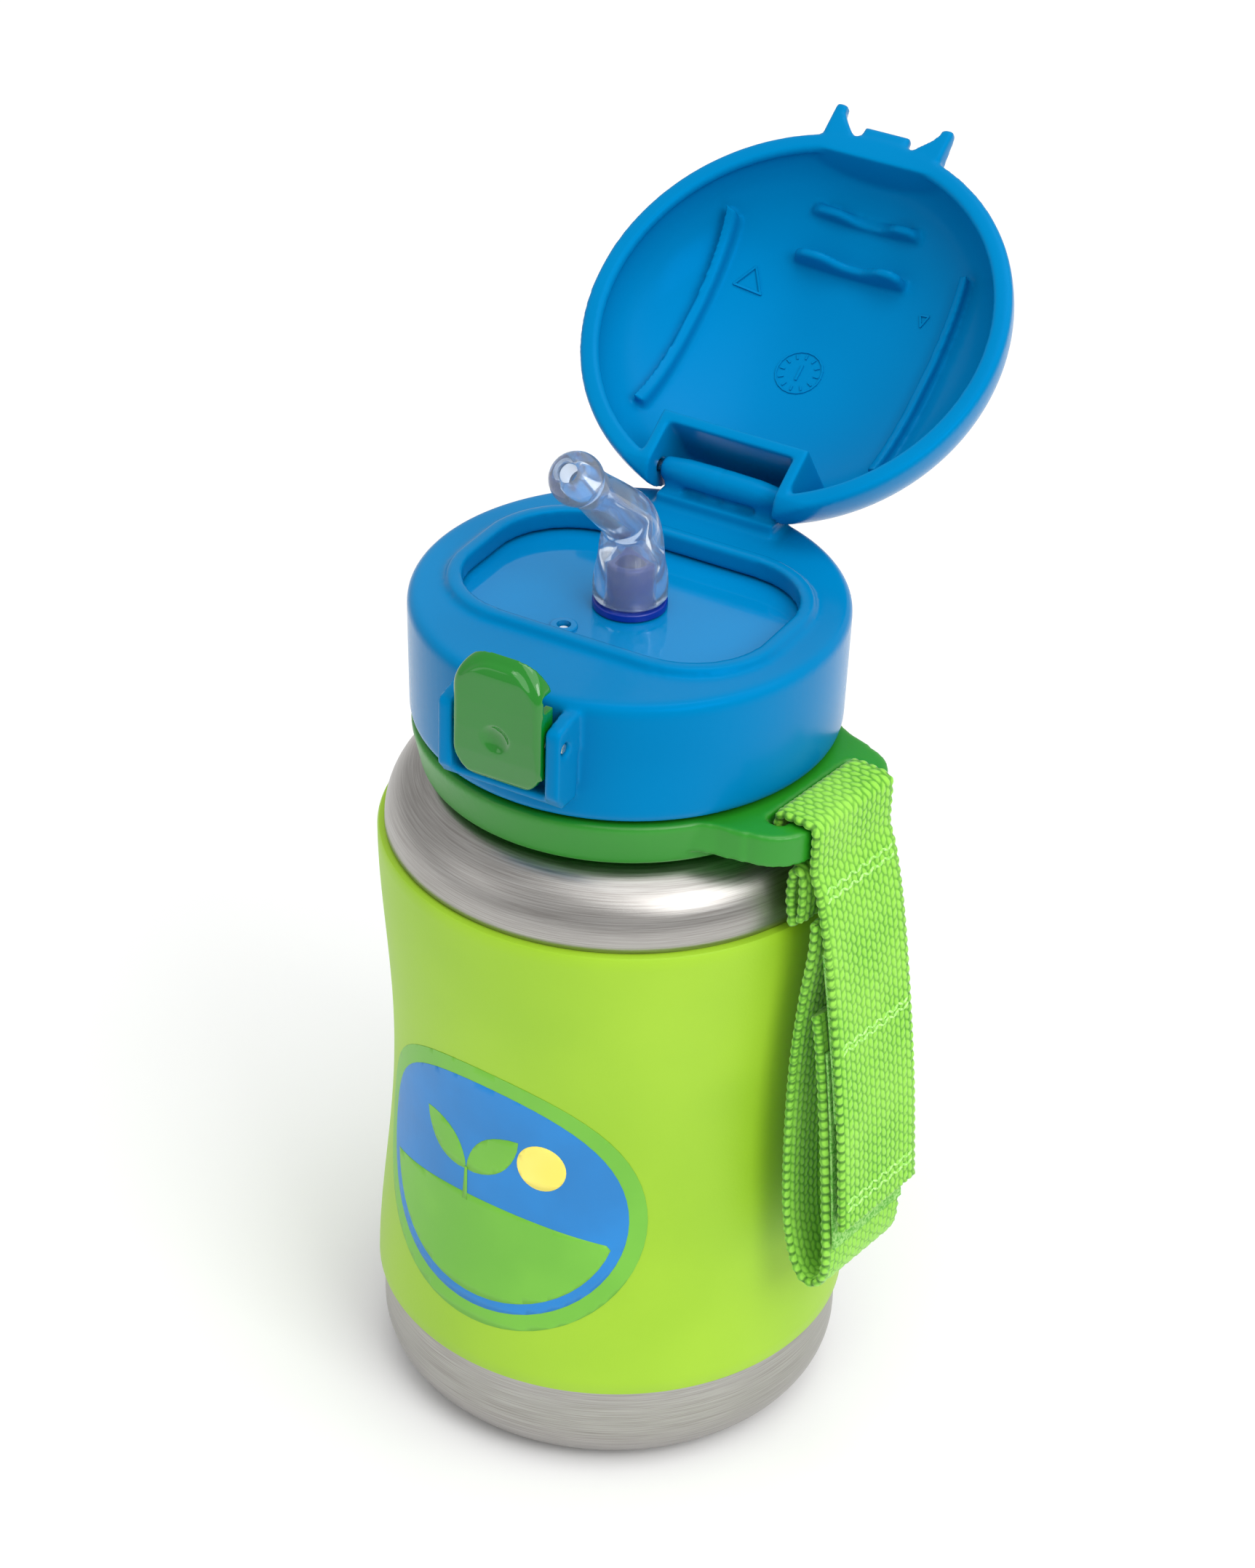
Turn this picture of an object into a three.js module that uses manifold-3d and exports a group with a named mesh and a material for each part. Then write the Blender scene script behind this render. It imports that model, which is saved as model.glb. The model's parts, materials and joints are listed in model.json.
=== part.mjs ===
// Children's steel drinking bottle: silicone sleeve, screw cap with a flip lid, folding spout and
// push latch, and a swivelling ring that carries a webbing strap.
// Millimetres, +Z up, origin at the centre of the base. The latch faces -Y and the lid hinge is at +Y.
import * as THREE from "three";
import { mergeVertices } from "three/addons/utils/BufferGeometryUtils.js";
import Module from "manifold-3d";

const wasm = await Module();
wasm.setup();

// ---- overall sizes
const GAP = 0.3; // clearance between pieces that touch
const BODY_H = 101; // top of the sleeve above the base
const BODY_R = 38; // sleeve outside radius at its two ends
const SLEEVE_Z0 = 17; // bottom edge of the sleeve
const SLEEVE_T = 1.7;
const WAIST_IN = 2.5; // how far the waist draws in
const STEEL_T = 0.9;
const FOOT_IN = 0.9; // bare steel below the sleeve stands this far inside it
const FOOT_ROUND = 9; // rounding between the wall and the flat base
const SHOULDER_H = 10.6; // height of the bare shoulder
const SHOULDER_STEP = 0.8; // shoulder stands this far proud of the steel under the sleeve

// ---- neck and screw thread
const NECK_R = 26;
const NECK_H = 22.1; // neck rim above the shoulder
const PITCH = 5; // rise per turn
const THREAD_TURNS = 1.35;
const THREAD_H = 1.1; // height of the ridge
const THREAD_W = 1.3; // width of the ridge along the axis

// ---- strap ring
const RING_H = 7.6;
const RING_IN = 0.6; // ring's top edge inside the cap's side
const RING_TAPER = 1.3; // its lower edge is this much smaller
const RING_LIFT = 0.6; // ring's lower face above the top of the shoulder
const LUG_ANGLE = -8; // where the lug points, degrees from +X
const LUG_OUT = 3.3; // lug's front outside the sleeve
const LUG_SIDE = 6; // lug past each edge of the webbing
const LUG_T = 5.2;
const SLOT_W = 3.2;
const SLOT_BAR = 4.1; // bar outside the slot
const SLOT_WALL = 1.2; // least wall between the ring and the slot

// ---- webbing strap
const WEB_W = 20;
const WEB_T = 1.4;
const TAPE_T = 0.4;
const TAPE_IN = 1; // tape inside each edge of the webbing
const STRAP_DROP = 77; // from the swing line to the bottom of the loop
const WEB_OUT = 9.2; // how far the front leg leans out at the bottom
const LEG_GAP = 3.3; // from the middle of the front leg to the middle of the leg behind it
const HEM_T = 3.6;
const HEM_H = 10;

// ---- cap
const CAP_OVER = 7.4; // cap's side outside the neck
const CAP_H = 20.4;
const CAP_WALL = 2.2;
const CAP_DECK = 1.8;
const CAP_EDGE = 1.6; // rounding of the top and bottom edges
const WELL_X = 25; // half length of the well opening
const WELL_Y = 16.4; // half width of the well opening
const WELL_CORNER = 12.5;
const WELL_DEPTH = 2.3;
const PLATE_T = 1.1;
const BEAD_W = 2.4;
const BEAD_H = 1.3;
const INSERT_WALL = 2.2;
const INSERT_TOP = 1.2;
const SEAL_T = 1.4;

// ---- spout, stem and straw
const SPOUT_X = 0;
const SPOUT_Y = 0;
const SPOUT_BEND = 14.6; // bend above the well floor
const SPOUT_LEAN = 49; // lean of the upper spout at rest, degrees from upright
const SPOUT_FOLD = 52; // further fold as the lid shuts
const SPOUT_L = 22; // bend to the centre of the ball tip
const SPOUT_R = 3.5;
const BULB_R = 5.7;
const BALL_R = 4.1;
const BORE_R = 1.9;
const STEM_R = 4.3;
const STEM_BORE = 2.4;
const STRAW_R = 3.5;
const STRAW_WALL = 0.8;
const STRAW_CLEAR = 6; // straw end above the inside of the base
const VENT_X = -5.1;
const VENT_Y = -10.8;
const VENT_R = 1.1;

// ---- lid and its hinge
const LID_OVER = 1; // lid's rim outside the cap's side
const LID_H = 18.8; // top of the closed lid above the cap
const LID_T = 2;
const LID_FULLNESS = 2.4; // 2 is an ellipse, more is boxier
const RIM_LIFT = 0.6; // closed rim above the cap
const HINGE_IN = 5.1; // hinge line inside the cap's side
const HINGE_UP = 5.2; // hinge line above the cap
const LID_OPEN = 146; // degrees between closed and the open stop
const NOTCH_DEEP = 5.5; // inside of the notch's wall in front of the hinge line
const ROOF_IN = 2.6; // dome over the notch stops this far in front of the hinge line
const EAR_T = 1.8;
const KNUCKLE_R = 2.3;
const KNUCKLE_X = 10.5;
const KNUCKLE_GAP = 0.4; // between the knuckle and each ear
const BLOCK_X = 10.2;
const BLOCK_H = 2;
const PIN_R = 0.8;

// ---- latch
const BUTTON_X = 7.5;
const BUTTON_CORNER = 5.2;
const LATCH_GAP = 0.35; // between the button and each ear
const LATCH_EAR_T = 2.4;
const LATCH_OUT = 2.5; // latch pin outside the cap's side
const LATCH_DOWN = 5.5; // latch pin below the top of the cap
const BUTTON_T = 1.2;
const BUTTON_UP = 7; // top of the button above the cap
const BUTTON_DOWN = 13.9; // bottom of the button below the top of the cap
const CATCH_X = 4;
const HORN_X = 8.4;
const HORN_T = 1.9;
const HORN_L = 4.5; // reach of each horn past the rim
const HORN_H = 2.6;
const CHORD_IN = 5; // flat inside wall behind the catch, inside the lid's rim
const LIP_W = 1.1; // rim's step inside the wall
const RIB_X = 20.3;
const RIB_H = 2;
const SPRING_WIRE = 0.2;

// ---- sizes that follow
const STEEL_FOOT_R = BODY_R - FOOT_IN;
const CAP_R = NECK_R + CAP_OVER;
const LID_R = CAP_R + LID_OVER;
const HINGE_Y = CAP_R - HINGE_IN;
const LATCH_Y = CAP_R + LATCH_OUT;
const NOTCH_X = KNUCKLE_X + KNUCKLE_GAP;
const RING_TOP_R = CAP_R - RING_IN;
const RING_LOW_R = RING_TOP_R - RING_TAPER;
const LUG_REACH = Math.max(BODY_R + LUG_OUT, RING_TOP_R + SLOT_WALL + SLOT_W + SLOT_BAR);
const LUG_HALF = WEB_W / 2 + LUG_SIDE;
const SLOT_IN = LUG_REACH - SLOT_BAR - SLOT_W;
const TAPE_W = WEB_W - 2 * TAPE_IN;
const SHOULDER_TOP = BODY_H + 1 + SHOULDER_H;
const RING_Z0 = SHOULDER_TOP + RING_LIFT;
const RING_Z1 = RING_Z0 + RING_H;
const NECK_TOP = SHOULDER_TOP + NECK_H;
const CAP_Z0 = RING_Z1 + GAP + 0.2;
const SEAL_Z0 = NECK_TOP + GAP;
const INSERT_Z1 = SEAL_Z0 + SEAL_T + GAP + INSERT_TOP;
const PLATE_Z0 = INSERT_Z1 + GAP;
const FLOOR_Z = PLATE_Z0 + PLATE_T; // floor of the well
const CAP_TOP = Math.max(FLOOR_Z + WELL_DEPTH, CAP_Z0 + CAP_H);
const HINGE_Z = CAP_TOP + HINGE_UP;

// ---- looks
const paint = (color, roughness = 0.5, metalness = 0) =>
  new THREE.MeshStandardMaterial({ color, roughness, metalness });
const BLUE = 0x0a86d8, GREEN = 0x1a9330, LIME = 0xb4dc3c, WEB = 0x6fd42a, STEEL = 0xc2c0bd;
const CLEAR = 0xb9cdf2, DEEP_BLUE = 0x0a55b5;

const root = new THREE.Group();
const rad = (d) => (d * Math.PI) / 180;

// ---- solids: every helper works on manifold solids and only joins or cuts them
function solid(geometry, matrix) {
  const g = geometry.clone();
  if (matrix) g.applyMatrix4(matrix);
  g.deleteAttribute("normal");
  g.deleteAttribute("uv");
  const m = mergeVertices(g, 1e-4);
  return new wasm.Manifold(new wasm.Mesh({
    numProp: 3,
    vertProperties: new Float32Array(m.attributes.position.array),
    triVerts: new Uint32Array(m.index.array),
  }));
}

function addMesh(name, s, material, parent = root) {
  const m = s.getMesh();
  const g = new THREE.BufferGeometry();
  g.setAttribute("position", new THREE.BufferAttribute(new Float32Array(m.vertProperties), 3));
  g.setIndex(new THREE.BufferAttribute(new Uint32Array(m.triVerts), 1));
  g.computeVertexNormals();
  const mesh = new THREE.Mesh(g, material);
  mesh.name = name;
  parent.add(mesh);
  return mesh;
}

const at = (x, y, z) => new THREE.Matrix4().makeTranslation(x, y, z);
const box = (x0, x1, y0, y1, z0, z1) =>
  solid(new THREE.BoxGeometry(x1 - x0, y1 - y0, z1 - z0), at((x0 + x1) / 2, (y0 + y1) / 2, (z0 + z1) / 2));
const rodX = (r, x0, x1, y, z, n = 16) =>
  solid(new THREE.CylinderGeometry(r, r, x1 - x0, n).rotateZ(Math.PI / 2), at((x0 + x1) / 2, y, z));
const rodZ = (r, x, y, z0, z1, n = 20) =>
  solid(new THREE.CylinderGeometry(r, r, z1 - z0, n).rotateX(Math.PI / 2), at(x, y, (z0 + z1) / 2));

// A profile of [radius, height] pairs, counter-clockwise when seen with radius to the right, spun round Z.
function spin(profile, n = 40, x = 0, y = 0) {
  const points = profile.map(([r, z]) => new THREE.Vector2(Math.max(r, 0), z));
  if (profile[0][0] > 0) points.push(points[0].clone());
  return solid(new THREE.LatheGeometry(points, n).rotateX(Math.PI / 2), at(x, y, 0));
}

// A flat outline pushed up from z0 to z1.
function slab(shape, z0, z1, curveSegments = 8) {
  return solid(new THREE.ExtrudeGeometry(shape, { depth: z1 - z0, bevelEnabled: false, curveSegments }),
    at(0, 0, z0));
}

// An outline in (y, z) pushed along X.
function sideways(points, x0, x1) {
  const shape = new THREE.Shape(points.map(([y, z]) => new THREE.Vector2(y, z)));
  const m = new THREE.Matrix4().makeBasis(
    new THREE.Vector3(0, 1, 0), new THREE.Vector3(0, 0, 1), new THREE.Vector3(1, 0, 0));
  m.setPosition(x0, 0, 0);
  return solid(new THREE.ExtrudeGeometry(shape, { depth: x1 - x0, bevelEnabled: false }), m);
}

function roundedRect(hx, hy, r, x = 0, y = 0) {
  const s = new THREE.Shape();
  s.moveTo(x - hx + r, y - hy);
  s.lineTo(x + hx - r, y - hy);
  s.absarc(x + hx - r, y - hy + r, r, -Math.PI / 2, 0);
  s.lineTo(x + hx, y + hy - r);
  s.absarc(x + hx - r, y + hy - r, r, 0, Math.PI / 2);
  s.lineTo(x - hx + r, y + hy);
  s.absarc(x - hx + r, y + hy - r, r, Math.PI / 2, Math.PI);
  s.lineTo(x - hx, y - hy + r);
  s.absarc(x - hx + r, y - hy + r, r, Math.PI, 1.5 * Math.PI);
  return s;
}

// Rings of points joined into one closed skin with flat ends.
function loft(rings) {
  const n = rings[0].length, v = [], t = [];
  rings.forEach((ring) => ring.forEach((p) => v.push(...p)));
  for (let i = 0; i + 1 < rings.length; i++)
    for (let j = 0; j < n; j++) {
      const a = i * n + j, b = i * n + ((j + 1) % n), c = a + n, d = b + n;
      t.push(a, b, d, a, d, c);
    }
  const last = (rings.length - 1) * n;
  for (let j = 1; j + 1 < n; j++) t.push(0, j + 1, j, last, last + j, last + j + 1);
  const g = new THREE.BufferGeometry();
  g.setAttribute("position", new THREE.BufferAttribute(new Float32Array(v), 3));
  g.setIndex(t);
  const s = solid(g);
  if (s.volume() > 0) return s;
  g.setIndex(t.slice().reverse());
  return solid(g);
}

// A ridge that climbs one pitch per turn; it fades in and out over its first and last steps.
function ridge(rRoot, rTip, z0, turns, width, stepsPerTurn = 28, start = 0) {
  const steps = Math.round(turns * stepsPerTurn), rings = [];
  for (let i = 0; i <= steps; i++) {
    const a = start + (i / stepsPerTurn) * 2 * Math.PI;
    const z = z0 + (i / stepsPerTurn) * PITCH;
    const tip = rRoot + (rTip - rRoot) * Math.min(1, (i + 0.4) / 3, (steps - i + 0.4) / 3);
    rings.push([[rRoot, -width / 2], [tip, -width / 4], [tip, width / 4], [rRoot, width / 2]]
      .map(([r, dz]) => [r * Math.cos(a), r * Math.sin(a), z + dz]));
  }
  return loft(rings);
}

// A band of the given thickness along a path of [out, up] points, as a closed outline.
function bandOutline(path, thickness, offset = 0) {
  const left = [], right = [];
  path.forEach((p, i) => {
    const a = path[Math.max(i - 1, 0)], b = path[Math.min(i + 1, path.length - 1)];
    const d = Math.hypot(b[0] - a[0], b[1] - a[1]);
    const nx = -(b[1] - a[1]) / d, ny = (b[0] - a[0]) / d;
    left.push([p[0] + nx * (offset + thickness / 2), p[1] + ny * (offset + thickness / 2)]);
    right.push([p[0] + nx * (offset - thickness / 2), p[1] + ny * (offset - thickness / 2)]);
  });
  return left.concat(right.reverse());
}

// Points on a smooth curve through the given [out, up] points.
function smooth(points, n) {
  const c = new THREE.CatmullRomCurve3(points.map(([a, b]) => new THREE.Vector3(a, b, 0)), false, "centripetal");
  return c.getPoints(n).map((p) => [p.x, p.y]);
}

// An outline in (out, up) at the lug, pushed across the strap's width.
const LUG_BASIS = new THREE.Matrix4().makeBasis(
  new THREE.Vector3(Math.cos(rad(LUG_ANGLE)), Math.sin(rad(LUG_ANGLE)), 0),
  new THREE.Vector3(0, 0, 1),
  new THREE.Vector3(Math.sin(rad(LUG_ANGLE)), -Math.cos(rad(LUG_ANGLE)), 0));
function acrossLug(outline, width) {
  const shape = new THREE.Shape(outline.map(([a, b]) => new THREE.Vector2(a, b)));
  const g = new THREE.ExtrudeGeometry(shape, { depth: width, bevelEnabled: false });
  return solid(g, LUG_BASIS.clone().multiply(at(0, 0, -width / 2)));
}

// ================================================================ bottle
// The sleeve's outside radius: full at both ends, drawn in at the waist.
function sleeveR(z) {
  const half = (BODY_H - SLEEVE_Z0) / 2, u = (z - SLEEVE_Z0 - half) / half;
  return BODY_R - WAIST_IN * (1 - u * u) ** 2;
}
const STATIONS = 7;
const sleeveZ = (i) => SLEEVE_Z0 + ((BODY_H - SLEEVE_Z0) * i) / (STATIONS - 1);
const steelR = (z) => sleeveR(z) - SLEEVE_T - GAP;

{
  const foot = Math.min(FOOT_ROUND, SLEEVE_Z0 - 2);
  const outer = [[0, 0], [STEEL_FOOT_R - foot, 0]];
  for (let i = 1; i <= 5; i++) {
    const a = (i / 5) * Math.PI / 2;
    outer.push([STEEL_FOOT_R - foot + foot * Math.sin(a), foot - foot * Math.cos(a)]);
  }
  outer.push([STEEL_FOOT_R, SLEEVE_Z0 - 1]);
  for (let i = 0; i < STATIONS; i++) outer.push([steelR(sleeveZ(i)), sleeveZ(i) - (i ? 0 : GAP)]);
  outer[outer.length - 1][1] += GAP;
  const sR = steelR(BODY_H) + SHOULDER_STEP, sz = BODY_H + 1;
  outer.push([sR, sz]);
  for (let i = 1; i <= 6; i++) {
    const a = (i / 6) * Math.PI / 2;
    outer.push([NECK_R + (sR - NECK_R) * Math.cos(a), sz + SHOULDER_H * Math.sin(a)]);
  }
  outer.push([NECK_R, NECK_TOP - 0.3], [NECK_R - 0.3, NECK_TOP]);
  const inner = [[NECK_R - STEEL_T, NECK_TOP], [NECK_R - STEEL_T, SHOULDER_TOP - STEEL_T - 0.4]];
  for (let i = 4; i >= 0; i--) {
    const a = (i / 5) * Math.PI / 2, r0 = NECK_R - STEEL_T, r1 = sR - STEEL_T;
    inner.push([r0 + (r1 - r0) * Math.cos(a), sz + (SHOULDER_H - STEEL_T) * Math.sin(a)]);
  }
  for (let i = STATIONS - 1; i >= 0; i -= 1) inner.push([steelR(sleeveZ(i)) - STEEL_T, sleeveZ(i)]);
  const rf = foot - STEEL_T;
  for (let i = 3; i >= 0; i--) {
    const a = (i / 3) * Math.PI / 2;
    inner.push([Math.min(STEEL_FOOT_R - STEEL_T, steelR(SLEEVE_Z0) - STEEL_T) - rf + rf * Math.sin(a),
      foot - rf * Math.cos(a)]);
  }
  inner.push([0, STEEL_T]);
  const shell = spin(outer.concat(inner));
  const thread = ridge(NECK_R - 0.4, NECK_R + THREAD_H, NECK_TOP - 2.2 - THREAD_TURNS * PITCH,
    THREAD_TURNS, THREAD_W);
  addMesh("steel_body", shell.add(thread), paint(STEEL, 0.35, 1));

  const sleeve = [];
  for (let i = 0; i < STATIONS; i++) sleeve.push([sleeveR(sleeveZ(i)), sleeveZ(i)]);
  sleeve[0][1] += 0.5;
  sleeve[STATIONS - 1][1] -= 0.5;
  sleeve.push([BODY_R - 0.5, BODY_H]);
  for (let i = STATIONS - 1; i >= 0; i--) sleeve.push([sleeveR(sleeveZ(i)) - SLEEVE_T, sleeveZ(i)]);
  sleeve.push([BODY_R - 0.5, SLEEVE_Z0]);
  addMesh("silicone_sleeve", spin(sleeve), paint(LIME, 0.6));
}

// ================================================================ strap ring and strap
{
  const inR = NECK_R + 0.6;
  let ring = spin([[inR, RING_Z0], [RING_LOW_R, RING_Z0], [RING_TOP_R, RING_Z1 - 1], [RING_TOP_R - 0.6, RING_Z1],
    [inR, RING_Z1]]);
  // the lug flares out of the ring and carries the slot
  const lug = new THREE.Shape();
  const r0 = RING_LOW_R - 2, w = LUG_HALF, c = 4.5;
  lug.moveTo(r0 * 0.86, -w - 2);
  lug.quadraticCurveTo(r0 * 1.02, -w - 0.5, LUG_REACH - c, -w + 0.6);
  lug.quadraticCurveTo(LUG_REACH, -w + 0.8, LUG_REACH, -w + c);
  lug.lineTo(LUG_REACH, w - c);
  lug.quadraticCurveTo(LUG_REACH, w - 0.8, LUG_REACH - c, w - 0.6);
  lug.quadraticCurveTo(r0 * 1.02, w + 0.5, r0 * 0.86, w + 2);
  const turn = new THREE.Matrix4().makeRotationZ(rad(LUG_ANGLE));
  const plate = solid(new THREE.ExtrudeGeometry(lug, { depth: LUG_T, bevelEnabled: false, curveSegments: 4 }),
    turn.clone().multiply(at(0, 0, RING_Z1 - LUG_T)));
  const slotW = WEB_W / 2 + 0.8;
  const slot = solid(new THREE.ExtrudeGeometry(roundedRect(SLOT_W / 2, slotW, 1.2, SLOT_IN + SLOT_W / 2, 0),
    { depth: LUG_T + 2, bevelEnabled: false, curveSegments: 3 }), turn.clone().multiply(at(0, 0, RING_Z1 - LUG_T - 1)));
  const neck = rodZ(inR, 0, 0, RING_Z0 - 1, RING_Z1 + 1, 48);
  // the lug stays off the part of the shoulder that rises beside it
  ring = ring.add(plate.subtract(neck)).subtract(slot);
  addMesh("strap_ring", ring, paint(GREEN, 0.45));
}

// the strap's two swing-line points: webbing goes down through the slot inside and over the bar outside
const WEB_IN = SLOT_IN + SLOT_W / 2 - 0.1;
const WEB_LINE = LUG_REACH + GAP + WEB_T / 2;
const SWING_Z = RING_Z1 - LUG_T - 0.6;
{
  const top = RING_Z1 + GAP + WEB_T / 2, r = 1.1;
  const wrap = [[WEB_IN, RING_Z1 - LUG_T - 0.4], [WEB_IN, top - r]];
  for (const a of [30, 60, 90]) wrap.push([WEB_IN + r - r * Math.cos(rad(a)), top - r + r * Math.sin(rad(a))]);
  for (const a of [90, 60, 30]) wrap.push([WEB_LINE - r + r * Math.cos(rad(a)), top - r + r * Math.sin(rad(a))]);
  wrap.push([WEB_LINE, top - r], [WEB_LINE, SWING_Z + WEB_T / 2 + GAP]);
  addMesh("strap_wrap", acrossLug(bandOutline(wrap, WEB_T), WEB_W), paint(WEB, 0.8));

  // front leg: hangs from the swing line, a little outwards
  const down = (f) => SWING_Z - STRAP_DROP * f;
  const out = (share) => WEB_LINE + WEB_OUT * share;
  const frontPath = smooth([[WEB_LINE, SWING_Z], [out(0.03), down(0.025)], [out(0.17), down(0.075)], [out(0.38), down(0.19)],
    [out(0.62), down(0.38)], [out(0.84), down(0.6)], [out(0.98), down(0.82)]], 16);
  const roundTop = rodLug(WEB_T / 2, WEB_LINE, SWING_Z);
  addMesh("strap_front", acrossLug(bandOutline(frontPath, WEB_T), WEB_W).add(roundTop), paint(WEB, 0.8));

  // tail: down beside the sleeve, round the bottom and back up behind the front leg
  const inner = BODY_R + 1.8 + WEB_T / 2;
  const tailPath = smooth([[WEB_LINE + 0.7, down(0.13)], [WEB_LINE + 0.5, down(0.2)], [inner + 1, down(0.33)],
    [inner, down(0.5)], [inner - 0.1, down(0.72)], [inner + 0.8, down(0.88)], [inner + 3.2, down(0.975)],
    [out(0.5), down(0.985)], [out(0.68), down(0.93)], [out(0.98) - LEG_GAP, down(0.8)], [out(0.84) - LEG_GAP, down(0.6)],
    [out(0.68) - LEG_GAP, down(0.43)], [out(0.56) - LEG_GAP, down(0.34)]], 40);
  addMesh("strap_tail", acrossLug(bandOutline(tailPath, WEB_T), WEB_W), paint(WEB, 0.8));

  // hem of the sewn end, under the lug between the shoulder and the front leg
  const hemTop = SWING_Z - WEB_T / 2 - GAP, hx = WEB_LINE - WEB_T / 2 - GAP - HEM_T;
  const hem = [[hx + 0.8, hemTop], [hx + HEM_T - 0.4, hemTop], [hx + HEM_T, hemTop - 1], [hx + HEM_T + 0.2, hemTop - HEM_H + 1],
    [hx + HEM_T - 0.8, hemTop - HEM_H], [hx + 1, hemTop - HEM_H], [hx, hemTop - HEM_H + 1.2], [hx, hemTop - 1]];
  addMesh("strap_hem", acrossLug(hem, WEB_W), paint(WEB, 0.8));

  // hook tape on the front leg's back, loop tape on the tail's front, face to face
  const hookPath = frontPath.slice(8, 14);
  addMesh("hook_tape", acrossLug(bandOutline(hookPath, TAPE_T, -(WEB_T / 2 + 0.25 + TAPE_T / 2)), TAPE_W),
    paint(0xdfe8e4, 0.9));
  const rise = tailPath.slice(28, 38);
  addMesh("loop_tape", acrossLug(bandOutline(rise, TAPE_T, -(WEB_T / 2 + 0.25 + TAPE_T / 2)), TAPE_W),
    paint(0xc9e0c0, 0.95));
}

// A rod across the strap at one [out, up] point.
function rodLug(r, out, up) {
  const c = [];
  for (let i = 0; i < 12; i++) c.push([out + r * Math.cos(rad(30 * i)), up + r * Math.sin(rad(30 * i))]);
  return acrossLug(c, WEB_W);
}

// ================================================================ cap
const INSERT_R = CAP_R - CAP_WALL - 0.6;
{
  // shell: side wall and deck
  const e = CAP_EDGE, low = CAP_R - 0.4, inR = CAP_R - CAP_WALL;
  let shell = spin([[inR - 0.4, CAP_Z0], [low - e, CAP_Z0], [low - 0.4, CAP_Z0 + 0.5], [low, CAP_Z0 + e],
    [CAP_R, CAP_TOP - e], [CAP_R - 0.5, CAP_TOP - 0.45], [CAP_R - e, CAP_TOP],
    [0, CAP_TOP], [0, CAP_TOP - CAP_DECK], [inR, CAP_TOP - CAP_DECK], [inR, CAP_Z0 + 2]], 48);
  const collarOut = roundedRect(WELL_X + 1.4, WELL_Y + 1.4, WELL_CORNER + 1.4);
  const well = roundedRect(WELL_X, WELL_Y, WELL_CORNER);
  const mouth = slab(well, FLOOR_Z - 2, CAP_TOP + 10, 6);
  shell = shell.add(slab(collarOut, FLOOR_Z + GAP, CAP_TOP - 0.2, 6));
  // bead round the well
  shell = shell.add(slab(roundedRect(WELL_X + BEAD_W, WELL_Y + BEAD_W, WELL_CORNER + BEAD_W), CAP_TOP - 0.5,
    CAP_TOP + BEAD_H * 0.6, 6));
  shell = shell.add(slab(roundedRect(WELL_X + BEAD_W - 0.6, WELL_Y + BEAD_W - 0.6, WELL_CORNER + BEAD_W - 0.6),
    CAP_TOP - 0.5, CAP_TOP + BEAD_H, 6));
  shell = shell.subtract(mouth);

  // hinge block, its two legs and the knuckle they carry
  const by = Math.max(HINGE_Y - 2.9, WELL_Y + BEAD_W + 0.5);
  shell = shell.add(box(-BLOCK_X, BLOCK_X, by, HINGE_Y + 2.4, CAP_TOP - 0.5, CAP_TOP + BLOCK_H));
  for (const s of [-1, 1]) {
    const x = s * (BLOCK_X - 2.2);
    shell = shell.add(box(x - 1.6, x + 1.6, HINGE_Y - 1.5, HINGE_Y + 1.5, CAP_TOP, HINGE_Z));
  }
  const kx = KNUCKLE_X;
  const knuckle = [[0, -kx], [KNUCKLE_R - 0.5, -kx], [KNUCKLE_R - 0.1, -kx * 0.6], [KNUCKLE_R, 0],
    [KNUCKLE_R - 0.1, kx * 0.6], [KNUCKLE_R - 0.5, kx], [0, kx]];
  const lie = new THREE.Matrix4().makeRotationY(Math.PI / 2).setPosition(0, HINGE_Y, HINGE_Z);
  shell = shell.add(solid(new THREE.LatheGeometry(knuckle.map(([r, z]) => new THREE.Vector2(r, z)), 16)
    .rotateX(Math.PI / 2), lie));
  shell = shell.subtract(rodX(PIN_R + 0.35, -kx - 1, kx + 1, HINGE_Y, HINGE_Z, 12));

  // two ears and a shelf for the latch
  const ex = BUTTON_X + LATCH_GAP, eo = ex + LATCH_EAR_T, wallY = -(CAP_R - CAP_WALL * 0.5);
  const earFront = -(LATCH_Y + 2.2), earTop = CAP_TOP - 1.5, earLow = CAP_TOP - BUTTON_DOWN - 2.1;
  const ear = [[wallY, CAP_TOP - 1.2], [wallY - 1.6, CAP_TOP - 1.2], [earFront + 0.5, earTop - 0.6], [earFront, earTop - 1.4],
    [earFront, earLow + 2.2], [earFront + 1.6, earLow], [wallY, earLow]].reverse();
  for (const s of [-1, 1]) shell = shell.add(sideways(ear, s > 0 ? ex : -eo, s > 0 ? eo : -ex));
  shell = shell.add(sideways([[wallY, earLow], [wallY, earLow + 1.5], [earFront + 1.3, earLow + 1.5],
    [earFront + 1.3, earLow + 0.6], [earFront + 1.6, earLow]], -eo, eo));
  shell = shell.subtract(rodX(PIN_R + 0.3, -eo - 1, eo + 1, -LATCH_Y, CAP_TOP - LATCH_DOWN, 12));
  // the bore of the side wall stays clear behind the ears
  shell = shell.subtract(rodZ(INSERT_R + 0.3, 0, 0, CAP_Z0 - 1, FLOOR_Z - PLATE_T - 0.05, 48));
  addMesh("cap_shell", shell, paint(BLUE, 0.3));

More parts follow.
